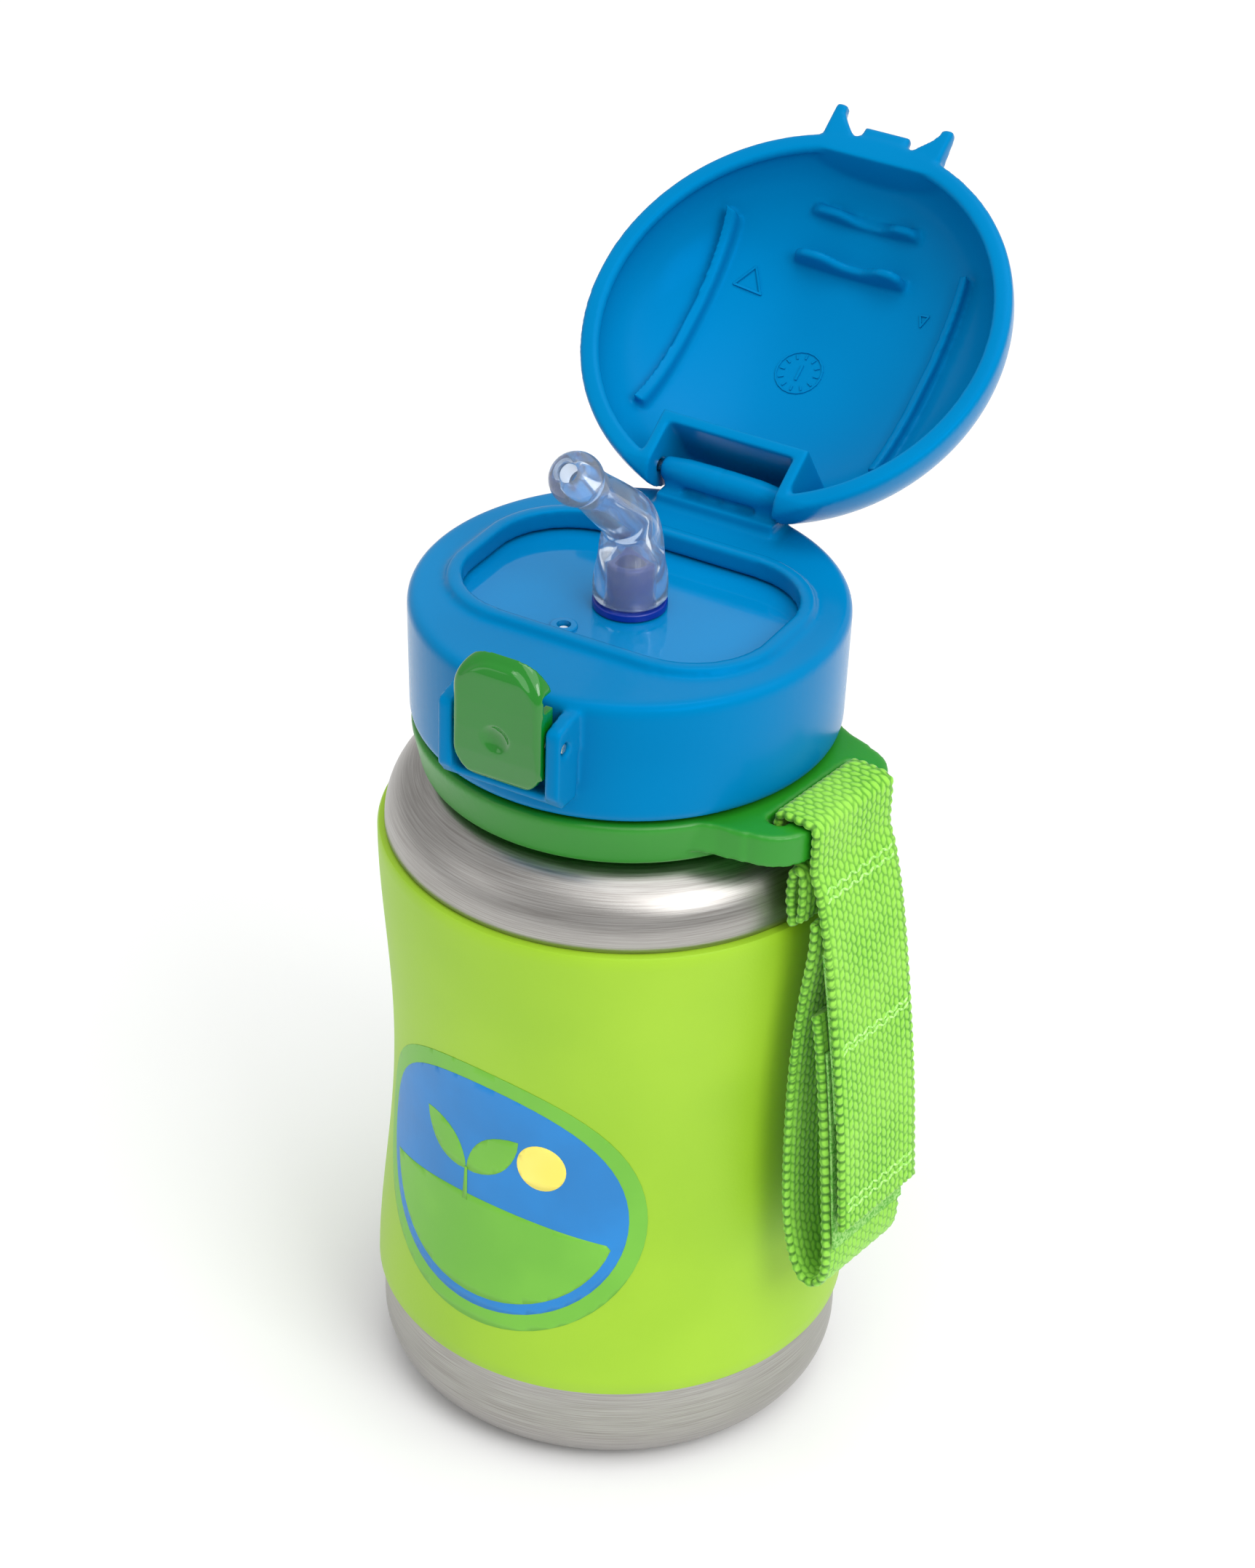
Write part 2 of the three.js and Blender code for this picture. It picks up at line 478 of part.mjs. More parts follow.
  // plate that floors the well, with a raised vent boss
  const pw = WELL_CORNER + 1.6;
  let plate = slab(roundedRect(WELL_X + 1.6, WELL_Y + 1.6, pw), PLATE_Z0, FLOOR_Z, 6);
  plate = plate.add(rodZ(VENT_R + 1, VENT_X, VENT_Y, FLOOR_Z - 0.3, FLOOR_Z + 0.4, 14));
  plate = plate.subtract(rodZ(STEM_R + 0.5, SPOUT_X, SPOUT_Y, PLATE_Z0 - 1, FLOOR_Z + 1))
    .subtract(rodZ(VENT_R, VENT_X, VENT_Y, PLATE_Z0 - 1, FLOOR_Z + 1, 12));
  addMesh("well_plate", plate, paint(0x2aa0ea, 0.15));

  // inner ring: screws onto the neck and closes it with a plate
  const bore = NECK_R + THREAD_H + 0.5, iz = CAP_Z0 + 0.6;
  let insert = spin([[bore, iz], [INSERT_R - 0.4, iz], [INSERT_R, iz + 0.6], [INSERT_R, INSERT_Z1], [0, INSERT_Z1],
    [0, INSERT_Z1 - INSERT_TOP], [bore, INSERT_Z1 - INSERT_TOP]]);
  insert = insert.add(ridge(bore + 0.4, NECK_R + 0.5, NECK_TOP - 2.2 - THREAD_TURNS * PITCH + PITCH / 2, THREAD_TURNS - 0.5,
    THREAD_W));
  insert = insert.subtract(rodZ(STEM_R + 0.5, SPOUT_X, SPOUT_Y, INSERT_Z1 - INSERT_TOP - 1, INSERT_Z1 + 1))
    .subtract(rodZ(VENT_R, VENT_X, VENT_Y, INSERT_Z1 - INSERT_TOP - 1, INSERT_Z1 + 1, 12));
  addMesh("thread_insert", insert, paint(BLUE, 0.35));

  addMesh("cap_seal", spin([[NECK_R - 2.4, SEAL_Z0], [bore - 0.6, SEAL_Z0], [bore - 0.6, SEAL_Z0 + SEAL_T],
    [NECK_R - 2.4, SEAL_Z0 + SEAL_T]]), paint(0xe8eef2, 0.7));

  // one-way air valve hanging under the inner plate
  const vz = INSERT_Z1 - INSERT_TOP - GAP;
  addMesh("vent_valve", spin([[0, vz - 1.1], [1.2, vz - 1.1], [3.0, vz - 0.5], [3.0, vz], [VENT_R - 0.35, vz],
    [VENT_R - 0.35, FLOOR_Z - 0.3], [0, FLOOR_Z - 0.3]], 14, VENT_X, VENT_Y), paint(0xe8eef2, 0.6));
}

// ================================================================ spout, stem and straw
const BEND_Z = FLOOR_Z + SPOUT_BEND;
const spoutAxis = new THREE.Group();
spoutAxis.position.set(SPOUT_X, SPOUT_Y, BEND_Z);
spoutAxis.rotation.x = rad(SPOUT_LEAN);
root.add(spoutAxis);
{
  // stem: flange on the plate, stub inside the bulb, tail that grips the straw
  const flange = FLOOR_Z + GAP, tail = INSERT_Z1 - INSERT_TOP - 9;
  addMesh("spout_stem", spin([[STEM_BORE, tail], [STRAW_R - STRAW_WALL - GAP, tail], [STRAW_R - STRAW_WALL - GAP, tail + 7],
    [STEM_R, tail + 7.6], [STEM_R, flange], [BULB_R, flange], [BULB_R, flange + 1.1], [STEM_R - 0.9, flange + 1.3],
    [STEM_R - 0.9, flange + 7], [STEM_BORE + 0.3, flange + 7.6], [STEM_BORE - 0.2, flange + 7.6], [STEM_BORE - 0.2, tail]],
  20, SPOUT_X, SPOUT_Y), paint(DEEP_BLUE, 0.3));

  const sealZ = INSERT_Z1 - INSERT_TOP - GAP - 1.4;
  addMesh("stem_seal", spin([[STEM_R + 0.3, sealZ], [STEM_R + 2, sealZ], [STEM_R + 2, sealZ + 1.4],
    [STEM_R + 0.3, sealZ + 1.4]], 20, SPOUT_X, SPOUT_Y), paint(0xe8eef2, 0.7));

  // lower spout: a bulb that narrows to the bend
  const b0 = flange + 1.6, hub = SPOUT_R + 0.75;
  const stub = STEM_R - 0.9 + GAP;
  let bulb = spin([[stub, b0], [BULB_R, b0], [BULB_R, b0 + 1.2], [BULB_R - 0.2, b0 + 5], [SPOUT_R + 0.8, BEND_Z - 2],
    [SPOUT_R + 0.5, BEND_Z + 0.4], [BORE_R, BEND_Z + 0.4], [BORE_R, flange + 9], [stub, flange + 8.2]],
  20, SPOUT_X, SPOUT_Y);
  bulb = bulb.subtract(solid(new THREE.SphereGeometry(hub + GAP, 20, 12), at(SPOUT_X, SPOUT_Y, BEND_Z)));
  for (const a of [SPOUT_LEAN, SPOUT_LEAN + SPOUT_FOLD / 2, SPOUT_LEAN + SPOUT_FOLD]) {
    const m = at(SPOUT_X, SPOUT_Y, BEND_Z).multiply(new THREE.Matrix4().makeRotationX(rad(a)));
    bulb = bulb.subtract(solid(new THREE.CylinderGeometry(hub + GAP, hub + GAP, 14, 20).rotateX(Math.PI / 2),
      m.multiply(at(0, 0, 7))));
  }
  addMesh("spout_base", bulb, paint(CLEAR, 0.2));

  // upper spout: rounded heel at the bend, tube and ball tip with a flat end
  const heel = [];
  for (let i = 1; i <= 4; i++) heel.push([hub * Math.sin(rad(14 + 19 * i)), -hub * Math.cos(rad(14 + 19 * i))]);
  const ball = [];
  for (let i = 0; i <= 5; i++) {
    const a = rad(-58 + 23 * i);
    ball.push([BALL_R * Math.cos(a), SPOUT_L + BALL_R * Math.sin(a)]);
  }
  const tip = [[BORE_R, -hub * 0.86], ...heel, [SPOUT_R + 0.3, 3], [SPOUT_R, 8], [SPOUT_R - 0.2, SPOUT_L - BALL_R - 0.6],
    ...ball, [BORE_R, SPOUT_L + BALL_R * Math.sin(rad(57))]];
  addMesh("spout_tip", spin(tip, 20), paint(CLEAR, 0.2), spoutAxis);

  const straw0 = STEEL_T + STRAW_CLEAR;
  addMesh("straw_tube", spin([[STRAW_R - STRAW_WALL, straw0], [STRAW_R, straw0], [STRAW_R, tail + 6.6],
    [STRAW_R - STRAW_WALL, tail + 6.6]], 14, SPOUT_X, SPOUT_Y), paint(0xdfe9f4, 0.3));
}

// ================================================================ lid, modelled closed and swung open about its pin
const lidGroup = new THREE.Group();
lidGroup.position.set(0, HINGE_Y, HINGE_Z);
lidGroup.rotation.x = -rad(LID_OPEN);
root.add(lidGroup);
const closed = new THREE.Matrix4().makeTranslation(0, -HINGE_Y, -HINGE_Z);
{
  const rim = CAP_TOP + RIM_LIFT;
  const dome = (R, H, steps) => {
    const out = [];
    for (let i = 0; i <= steps; i++) {
      const a = (i / steps) * Math.PI / 2, p = 2 / LID_FULLNESS;
      out.push([R * Math.cos(a) ** p, rim + (H - RIM_LIFT) * Math.sin(a) ** p]);
    }
    out[steps][0] = 0;
    return out;
  };
  const outside = dome(LID_R, LID_H, 10), inside = dome(LID_R - LID_T, LID_H - LID_T, 9).reverse();
  const lipIn = LID_R - LID_T - LIP_W; // the rim is thicker than the wall
  inside.pop();
  let lid = spin([...outside, ...inside, [LID_R - LID_T - 0.1, rim + 2.2], [lipIn, rim + 1.4], [lipIn, rim + 0.4],
    [lipIn + 0.4, rim]], 48);
  const hollow = spin([[0, rim], ...dome(LID_R - 0.6, LID_H - 0.6, 10)], 32);

  // walls of the hinge notch, then the notch itself
  const ny = HINGE_Y - NOTCH_DEEP, no = NOTCH_X + EAR_T;
  let walls = box(-no, no, ny - EAR_T, CAP_R + 4, rim, CAP_TOP + LID_H).intersect(hollow);
  lid = lid.add(walls);
  const under = spin([[0, rim - 3], [LID_R - LID_T, rim - 3], ...dome(LID_R - LID_T, LID_H - LID_T, 9)], 32);
  const roofEnd = HINGE_Y - ROOF_IN;
  lid = lid.subtract(box(-NOTCH_X, NOTCH_X, ny, roofEnd + 1, CAP_TOP - 1, CAP_TOP + LID_H).intersect(under));
  lid = lid.subtract(box(-NOTCH_X, NOTCH_X, roofEnd, CAP_R + 6, CAP_TOP - 1, CAP_TOP + LID_H + 1));
  // the ends of the ears are round about the pin
  const keep = rodX(HINGE_UP - 0.35, -22, 22, HINGE_Y, HINGE_Z, 24);
  lid = lid.subtract(box(-21, 21, HINGE_Y, CAP_R + 6, CAP_TOP - 1, HINGE_Z).subtract(keep));
  lid = lid.subtract(rodX(PIN_R + 0.3, -no - 0.2, no + 0.2, HINGE_Y, HINGE_Z, 12));

  // two long ribs either side of the spout
  const inner = spin([[0, rim], ...dome(LID_R - LID_T + 0.4, LID_H - LID_T + 0.4, 9)], 32);
  for (const x of [-RIB_X, RIB_X]) {
    const rib = box(x - 0.8, x + 0.8, -19, 17, CAP_TOP + 4, CAP_TOP + LID_H);
    const roof = spin([[0, rim - 3], [LID_R - LID_T - RIB_H, rim - 3],
      ...dome(LID_R - LID_T - RIB_H, LID_H - LID_T - RIB_H, 9)], 32);
    lid = lid.add(rib.intersect(inner).subtract(roof));
  }
  // two fins that hold the folded spout down, each dipping in the middle
  for (const [y, hump, dip] of [[-16, 11.7, 13.2], [-23.9, 10.9, 12.5]]) {
    const fin = new THREE.Shape();
    const zh = CAP_TOP + hump, zd = CAP_TOP + dip, x = SPOUT_X;
    fin.moveTo(x - 10.2, zh + 4);
    fin.quadraticCurveTo(x - 9.6, zh, x - 6.4, zh);
    fin.bezierCurveTo(x - 3.5, zh, x - 2.5, zd, x, zd);
    fin.bezierCurveTo(x + 2.5, zd, x + 3.5, zh, x + 6, zh);
    fin.quadraticCurveTo(x + 9, zh, x + 9.4, zh + 4);
    fin.lineTo(x + 9.4, zh + 10);
    fin.lineTo(x - 10.2, zh + 10);
    const stand = new THREE.Matrix4().makeRotationX(Math.PI / 2).setPosition(0, y + 0.8, 0);
    lid = lid.add(solid(new THREE.ExtrudeGeometry(fin, { depth: 1.6, bevelEnabled: false, curveSegments: 4 }), stand)
      .intersect(inner));
  }
  // flat wall inside the front, the catch tab outside it and a horn on each side of that
  lid = lid.add(box(-14, 14, -LID_R, -(LID_R - CHORD_IN), rim, CAP_TOP + LID_H).intersect(hollow));
  lid = lid.add(box(-CATCH_X, CATCH_X, -(LID_R + 1.5), -(LID_R - 1.2), rim + 0.2, rim + 2));
  for (const s of [-1, 1]) {
    const x0 = s > 0 ? HORN_X : -HORN_X - HORN_T;
    const root = -(LID_R - 1.2), tip = -(LID_R + HORN_L);
    lid = lid.add(sideways([[root, rim + HORN_H + 0.8], [tip, rim + HORN_H - 0.6], [tip, rim + 0.3],
      [tip + 0.3, rim + 0.05], [root, rim + 0.05]], x0, x0 + HORN_T));
    // a hollow-edged web from the horn towards the tab
    const web = new THREE.Shape(), wx = s * (HORN_X + 0.2);
    web.moveTo(wx, root);
    web.lineTo(wx, tip + 1);
    web.quadraticCurveTo(s * (HORN_X - 0.9), -(LID_R + 0.9), s * (HORN_X - 3), -(LID_R - 0.3));
    web.lineTo(s * (HORN_X - 3), root);
    lid = lid.add(slab(web, rim + 0.05, rim + 1.5, 4));
  }
  addMesh("lid_shell", lid.transform([...closed.elements]), paint(BLUE, 0.3), lidGroup);
  addMesh("lid_hinge_pin", rodX(PIN_R, -no, no, HINGE_Y, HINGE_Z, 12), paint(STEEL, 0.3, 1));
}

// ================================================================ latch button, its pin and spring
{
  const pz = CAP_TOP - LATCH_DOWN, py = -LATCH_Y;
  const front = -(LATCH_Y + 2.9), lip = -(LID_R + 0.7);
  const tabTop = CAP_TOP + RIM_LIFT + 2;
  const side = [[lip, tabTop + GAP], [lip, tabTop + 1], [lip - 0.9, CAP_TOP + BUTTON_UP], [front + 1.7, CAP_TOP + BUTTON_UP],
    [front + 0.7, CAP_TOP + BUTTON_UP - 0.9], [front, CAP_TOP - 0.5], [front, CAP_TOP - 6], [front + 0.5, CAP_TOP - 11],
    [front + 1.2, CAP_TOP - BUTTON_DOWN + 0.4], [front + 2, CAP_TOP - BUTTON_DOWN], [front + 2.9, CAP_TOP - BUTTON_DOWN + 0.3],
    [front + 2.9, CAP_TOP - 9], [front + BUTTON_T, CAP_TOP - 8], [front + BUTTON_T, tabTop + GAP]];
  let button = sideways(side, -BUTTON_X, BUTTON_X);
  // the corners of the face are round
  const face = roundedRect(BUTTON_X, (BUTTON_UP + BUTTON_DOWN) / 2, BUTTON_CORNER, 0, CAP_TOP + (BUTTON_UP - BUTTON_DOWN) / 2);
  const facing = new THREE.Matrix4().makeRotationX(Math.PI / 2).setPosition(0, -20, 0);
  button = button.intersect(solid(new THREE.ExtrudeGeometry(face, { depth: 30, bevelEnabled: false, curveSegments: 4 }),
    facing));
  const boss = PIN_R + 1.2;
  for (const s of [-1, 1]) {
    const a = s > 0 ? 3 : -BUTTON_X + 0.2, b = s > 0 ? BUTTON_X - 0.2 : -3;
    button = button.add(rodX(boss, a, b, py, pz, 16)).add(box(a, b, front + 1, py, pz - boss, pz + boss));
  }
  button = button.subtract(rodX(PIN_R + 0.3, -BUTTON_X - 1, BUTTON_X + 1, py, pz, 12));
  addMesh("latch_button", button, paint(GREEN, 0.2));

  const reach = BUTTON_X + LATCH_GAP + LATCH_EAR_T - 0.4;
  addMesh("latch_pin", rodX(PIN_R, -reach, reach, py, pz, 12), paint(STEEL, 0.3, 1));

  // torsion spring: a coil round the pin with one leg on the cap and one behind the button
  const coilR = PIN_R + SPRING_WIRE + 0.2, turns = 5, per = 10, rings = [];
  for (let i = 0; i <= turns * per; i++) {
    const a = (i / per) * 2 * Math.PI, x = -2.4 + (4.8 * i) / (turns * per);
    rings.push([0, 72, 144, 216, 288].map((d) => {
      const r = coilR + SPRING_WIRE * Math.cos(rad(d));
      return [x + SPRING_WIRE * Math.sin(rad(d)), py + r * Math.cos(a), pz + r * Math.sin(a)];
    }));
  }
  let spring = loft(rings);
  spring = spring.add(box(-2.6, -2.2, py + coilR - 0.2, py + coilR + 0.2, pz - 5, pz + 0.1));
  spring = spring.add(box(2.2, 2.6, py + coilR - 0.2, py + coilR + 0.2, pz - 0.1, pz + 4));
  addMesh("latch_spring", spring, paint(STEEL, 0.3, 1));
}

export default root;
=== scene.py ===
import json
import math

import bmesh
import bpy
from mathutils import Matrix, Vector

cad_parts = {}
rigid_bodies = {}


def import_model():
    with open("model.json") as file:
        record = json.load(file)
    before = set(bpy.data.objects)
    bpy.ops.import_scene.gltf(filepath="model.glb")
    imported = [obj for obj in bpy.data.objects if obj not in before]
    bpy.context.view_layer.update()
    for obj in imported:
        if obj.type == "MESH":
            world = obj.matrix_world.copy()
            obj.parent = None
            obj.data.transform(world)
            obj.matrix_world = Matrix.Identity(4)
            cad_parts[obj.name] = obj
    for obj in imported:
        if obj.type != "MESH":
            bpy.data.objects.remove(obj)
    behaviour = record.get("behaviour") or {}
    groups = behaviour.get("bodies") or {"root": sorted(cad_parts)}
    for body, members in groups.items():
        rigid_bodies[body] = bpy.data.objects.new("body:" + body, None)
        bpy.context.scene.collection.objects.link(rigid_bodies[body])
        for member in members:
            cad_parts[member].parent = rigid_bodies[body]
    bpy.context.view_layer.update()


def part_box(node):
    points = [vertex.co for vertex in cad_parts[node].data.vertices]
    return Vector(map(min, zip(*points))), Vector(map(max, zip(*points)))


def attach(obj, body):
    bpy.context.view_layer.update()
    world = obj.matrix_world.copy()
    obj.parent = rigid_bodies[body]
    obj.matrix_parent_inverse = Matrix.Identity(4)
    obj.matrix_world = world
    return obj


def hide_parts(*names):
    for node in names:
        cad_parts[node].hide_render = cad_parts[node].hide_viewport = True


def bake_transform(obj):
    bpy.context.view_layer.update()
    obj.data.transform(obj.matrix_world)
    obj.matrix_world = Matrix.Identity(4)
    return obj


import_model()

# ---------------------------------------------------------------- camera
# A long lens to the right of the latch, looking down into the open cap. It aims at the axis of
# the bottle where the cap begins, and is tipped a little so that the bottle leans to the right.
MM = 0.001
film_high, lens_long = 36, 100.1855288
turned_by, looks_down, tipped = math.radians(29), math.radians(32.7), math.radians(-1.75)
stand_off, aside, below = 664 * MM, 0.121733 * MM, 11.7196 * MM
across = Vector((math.cos(turned_by), math.sin(turned_by), 0))
ahead = Vector((-math.sin(turned_by) * math.cos(looks_down),
                math.cos(turned_by) * math.cos(looks_down), -math.sin(looks_down)))
above = across.cross(ahead)
across, above = (math.cos(tipped) * across - math.sin(tipped) * above,
                 math.sin(tipped) * across + math.cos(tipped) * above)
aim = Vector((0, 0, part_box("cap_shell")[0].z))
place = aim + across * aside - above * below - ahead * stand_off
camera = bpy.data.objects.new("camera", bpy.data.cameras.new("camera"))
bpy.context.scene.collection.objects.link(camera)
camera.data.sensor_width = film_high
camera.data.lens = lens_long
camera.data.clip_start = 0.01
axes = Matrix((across, above, -ahead)).transposed().to_4x4()
camera.matrix_world = Matrix.Translation(place) @ axes
bpy.context.scene.camera = camera
bpy.context.scene.view_settings.view_transform = "Standard"


# ---------------------------------------------------------------- table and light
# A plain white table, faintly clouded. A hazy sun and a soft panel stand to the right, with a fill
# from the left and a panel overhead that draws the edges of the steel and the glossy plastic.
class Amount:
    """A number that varies over a surface; sums on it add maths nodes."""

    def __init__(self, finish, socket):
        self.finish, self.socket = finish, socket

    def maths(self, operation, *others):
        values = dict(enumerate([self, *others]))
        return self.finish.node("ShaderNodeMath", {"operation": operation}, values)

    def __add__(self, other):
        return self.maths("ADD", other)

    def __sub__(self, other):
        return self.maths("SUBTRACT", other)

    def __mul__(self, other):
        return self.maths("MULTIPLY", other)

    def __truediv__(self, other):
        return self.maths("DIVIDE", other)

    def __rsub__(self, other):
        return self.finish.node("ShaderNodeMath", {"operation": "SUBTRACT"}, {0: other, 1: self})

    __radd__ = __add__
    __rmul__ = __mul__

    def wrapped(self):
        return self.maths("FRACT")

    def size(self):
        return self.maths("ABSOLUTE")

    def whole(self):
        return self.maths("FLOOR")

    def step(self, low, high):
        """0 below low, 1 above high, smooth between."""
        return self.finish.node("ShaderNodeMapRange", {"interpolation_type": "SMOOTHSTEP"},
                                {"Value": self, "From Min": low, "From Max": high})


class Finish:
    """One material: its shader's own sockets, and the nodes that vary over the surface."""

    def __init__(self, name, **shader):
        self.material = bpy.data.materials.new(name)
        self.material.use_nodes = True
        self.tree = self.material.node_tree
        self.shader = self.tree.nodes["Principled BSDF"]
        for socket, value in shader.items():
            self.shader.inputs[socket.replace("_", " ")].default_value = value

    def node(self, kind, settings, sockets, out=0):
        made = self.tree.nodes.new(kind)
        for setting, value in settings.items():
            if setting == "stops":
                ramp = made.color_ramp
                while len(ramp.elements) < len(value):
                    ramp.elements.new(0.5)
                for element, (spot, colour) in zip(ramp.elements, value):
                    element.position, element.color = spot, colour
            else:
                setattr(made, setting, value)
        for socket, value in sockets.items():
            if isinstance(value, Amount):
                self.tree.links.new(value.socket, made.inputs[socket])
            else:
                made.inputs[socket].default_value = value
        return Amount(self, made.outputs[out])

    def place(self, scale=(1, 1, 1)):
        """Where a point of the piece is, in metres, stretched by scale."""
        spot = self.node("ShaderNodeTexCoord", {}, {}, "Object")
        return self.node("ShaderNodeMapping", {}, {"Vector": spot, "Scale": scale})

    def parts(self, spot):
        made = self.tree.nodes.new("ShaderNodeSeparateXYZ")
        self.tree.links.new(spot.socket, made.inputs[0])
        return [Amount(self, o) for o in made.outputs]

    def cloud(self, scale, detail=3.0, rough=0.5, at=None):
        """Soft noise, with scale lumps to the metre unless it is laid elsewhere."""
        return self.node("ShaderNodeTexNoise", {}, {"Vector": at or self.place(), "Scale": scale,
                                                    "Detail": detail, "Roughness": rough})

    def mixed(self, amount, first, second):
        return self.node("ShaderNodeMix", {"data_type": "RGBA"}, {0: amount, 6: first, 7: second}, 2)

    def feed(self, **sockets):
        for socket, value in sockets.items():
            self.tree.links.new(value.socket, self.shader.inputs[socket.replace("_", " ")])

    def raised(self, height, distance, strength=1.0):
        """Bumps of this height, in metres."""
        bump = self.node("ShaderNodeBump", {}, {"Height": height, "Distance": distance,
                                                "Strength": strength})
        self.tree.links.new(bump.socket, self.shader.inputs["Normal"])


def paint(r, g, b, a=1.0):
    """A colour given as it looks, 0 to 255."""
    flat = [c / 255 for c in (r, g, b)]
    return tuple(c / 12.92 if c <= 0.04045 else ((c + 0.055) / 1.055) ** 2.4 for c in flat) + (a,)


floor_mesh = bmesh.new()
bmesh.ops.create_grid(floor_mesh, x_segments=2, y_segments=2, size=3)
floor = bpy.data.objects.new("table", bpy.data.meshes.new("table"))
floor_mesh.to_mesh(floor.data)
floor_mesh.free()
bpy.context.scene.collection.objects.link(floor)
table = Finish("table white", Base_Color=(0.9, 0.9, 0.9, 1), Roughness=0.6)
table_cloud = table.cloud(6.0, 3.0)
table.feed(Base_Color=table.mixed(table_cloud, paint(240, 240, 239), paint(248, 248, 248)),
           Roughness=0.5 + table_cloud * 0.2)
floor.data.materials.append(table.material)

world = bpy.data.worlds.new("studio")
bpy.context.scene.world = world
world.use_nodes = True
world.node_tree.nodes["Background"].inputs["Color"].default_value = (1.0, 1.0, 1.0, 1)
world.node_tree.nodes["Background"].inputs["Strength"].default_value = 0.6


def softbox(name, where, towards, size, power, tint=(1, 1, 1)):
    light = bpy.data.lights.new(name, "AREA")
    light.shape = "RECTANGLE"
    light.size, light.size_y = size
    light.energy = power
    light.color = tint
    lamp = bpy.data.objects.new(name, light)
    bpy.context.scene.collection.objects.link(lamp)
    way = Vector(towards) - Vector(where)
    lamp.matrix_world = Matrix.Translation(where) @ way.to_track_quat("-Z", "Y").to_matrix().to_4x4()


sun_light = bpy.data.lights.new("sun", "SUN")
sun_light.energy, sun_light.angle = 1.6, math.radians(75)
sun = bpy.data.objects.new("sun", sun_light)
bpy.context.scene.collection.objects.link(sun)
sun.matrix_world = Vector((-0.42, 0.12, -0.9)).to_track_quat("-Z", "Y").to_matrix().to_4x4()
softbox("key", (0.75, -0.35, 0.75), (0, 0, 0.1), (0.5, 0.5), 3.2)
softbox("fill", (-0.7, -0.8, 0.5), (0, 0, 0.1), (0.5, 0.5), 0.6)
softbox("top", (0.0, 0.1, 1.0), (0, 0, 0.1), (0.5, 0.5), 1.2)


# ---------------------------------------------------------------- steel bottle
# One drawn stainless shell: flat base with a rounded foot, bare shoulder and a neck with a rolled
# lip and a rolled screw thread. The whole outside is brushed round the axis.
def arc(middle, radii, first, last, steps):
    """Points on an arc of a profile, from first to last degrees, with 0 outwards and 90 up."""
    return [(middle[0] + radii[0] * math.cos(math.radians(first + (last - first) * i / steps)),
             middle[1] + radii[1] * math.sin(math.radians(first + (last - first) * i / steps)))
            for i in range(steps + 1)]


def turned(profile, steps=160, middle=(0, 0)):
    """A closed profile of (radius, height) in millimetres, spun about a post that stands at middle."""
    shape = bmesh.new()
    post_x, post_y = middle[0] * MM, middle[1] * MM
    points = [shape.verts.new((r * MM + post_x, post_y, z * MM)) for r, z in profile]
    edges = [shape.edges.new((points[i], points[i + 1])) for i in range(len(points) - 1)
             if profile[i][0] or profile[i + 1][0]]
    if profile[0][0]:
        edges.append(shape.edges.new((points[-1], points[0])))
    bmesh.ops.spin(shape, geom=points + edges, cent=(post_x, post_y, 0), axis=(0, 0, 1),
                   dvec=(0, 0, 0), angle=math.tau, steps=steps, use_merge=True, use_duplicate=False)
    bmesh.ops.remove_doubles(shape, verts=shape.verts, dist=1e-6)
    bmesh.ops.recalc_face_normals(shape, faces=shape.faces)
    return shape


def to_object(shape, name):
    """Makes a named piece of a shape."""
    mesh = bpy.data.meshes.new(name)
    shape.to_mesh(mesh)
    shape.free()
    made = bpy.data.objects.new(name, mesh)
    bpy.context.scene.collection.objects.link(made)
    return made


def fitted(piece, finish, body, stands_for=(), sharp=35):
    """Gives a piece its finish, its body and the CAD nodes it stands for."""
    piece.data.materials.clear()
    piece.data.materials.append(finish.material)
    piece.data.shade_smooth()
    if sharp is not None:
        piece.data.set_sharp_from_angle(angle=math.radians(sharp))
    if body:
        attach(piece, body)
    if stands_for:
        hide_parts(*stands_for)
    return piece


steel = Finish("brushed stainless", Base_Color=paint(180, 177, 173), Metallic=1.0, Roughness=0.34)
steel_x, steel_y, steel_z = steel.parts(steel.place())
steel_angle = steel_y.maths("ARCTAN2", steel_x)
lines_round, lines_up = 0.6, 1500.0
hairline_at = steel.node("ShaderNodeCombineXYZ", {}, {0: steel_angle * lines_round,
                                                      1: steel_z * lines_up})
hairlines = steel.cloud(4.0, 4.0, 0.65, at=hairline_at)
smudges = steel.cloud(45.0, 2.0)
steel.feed(Base_Color=steel.mixed(hairlines.step(0.3, 0.7) * 0.6 + smudges * 0.25,
                                  paint(142, 138, 134), paint(192, 190, 187)),
           Roughness=0.22 + hairlines * 0.2 + smudges * 0.06)
steel.raised(hairlines, 0.00002, 0.5)
steel.shader.inputs["Anisotropic"].default_value = 0.5

foot_r, foot_round, steel_wall = 37.1, 9.0, 0.9
sleeve_low, sleeve_high, sleeve_wall = 17.0, 101.0, 1.7
sleeve_end_r, waist = 38.0, 2.5
neck_r, lip_z = 26.0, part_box("steel_body")[1].z / MM


def sleeve_r(z):
    """The outside of the sleeve, which the waist draws in at the middle."""
    half = (sleeve_high - sleeve_low) / 2
    u = (z - sleeve_low - half) / half
    return sleeve_end_r - waist * (1 - u * u) ** 2


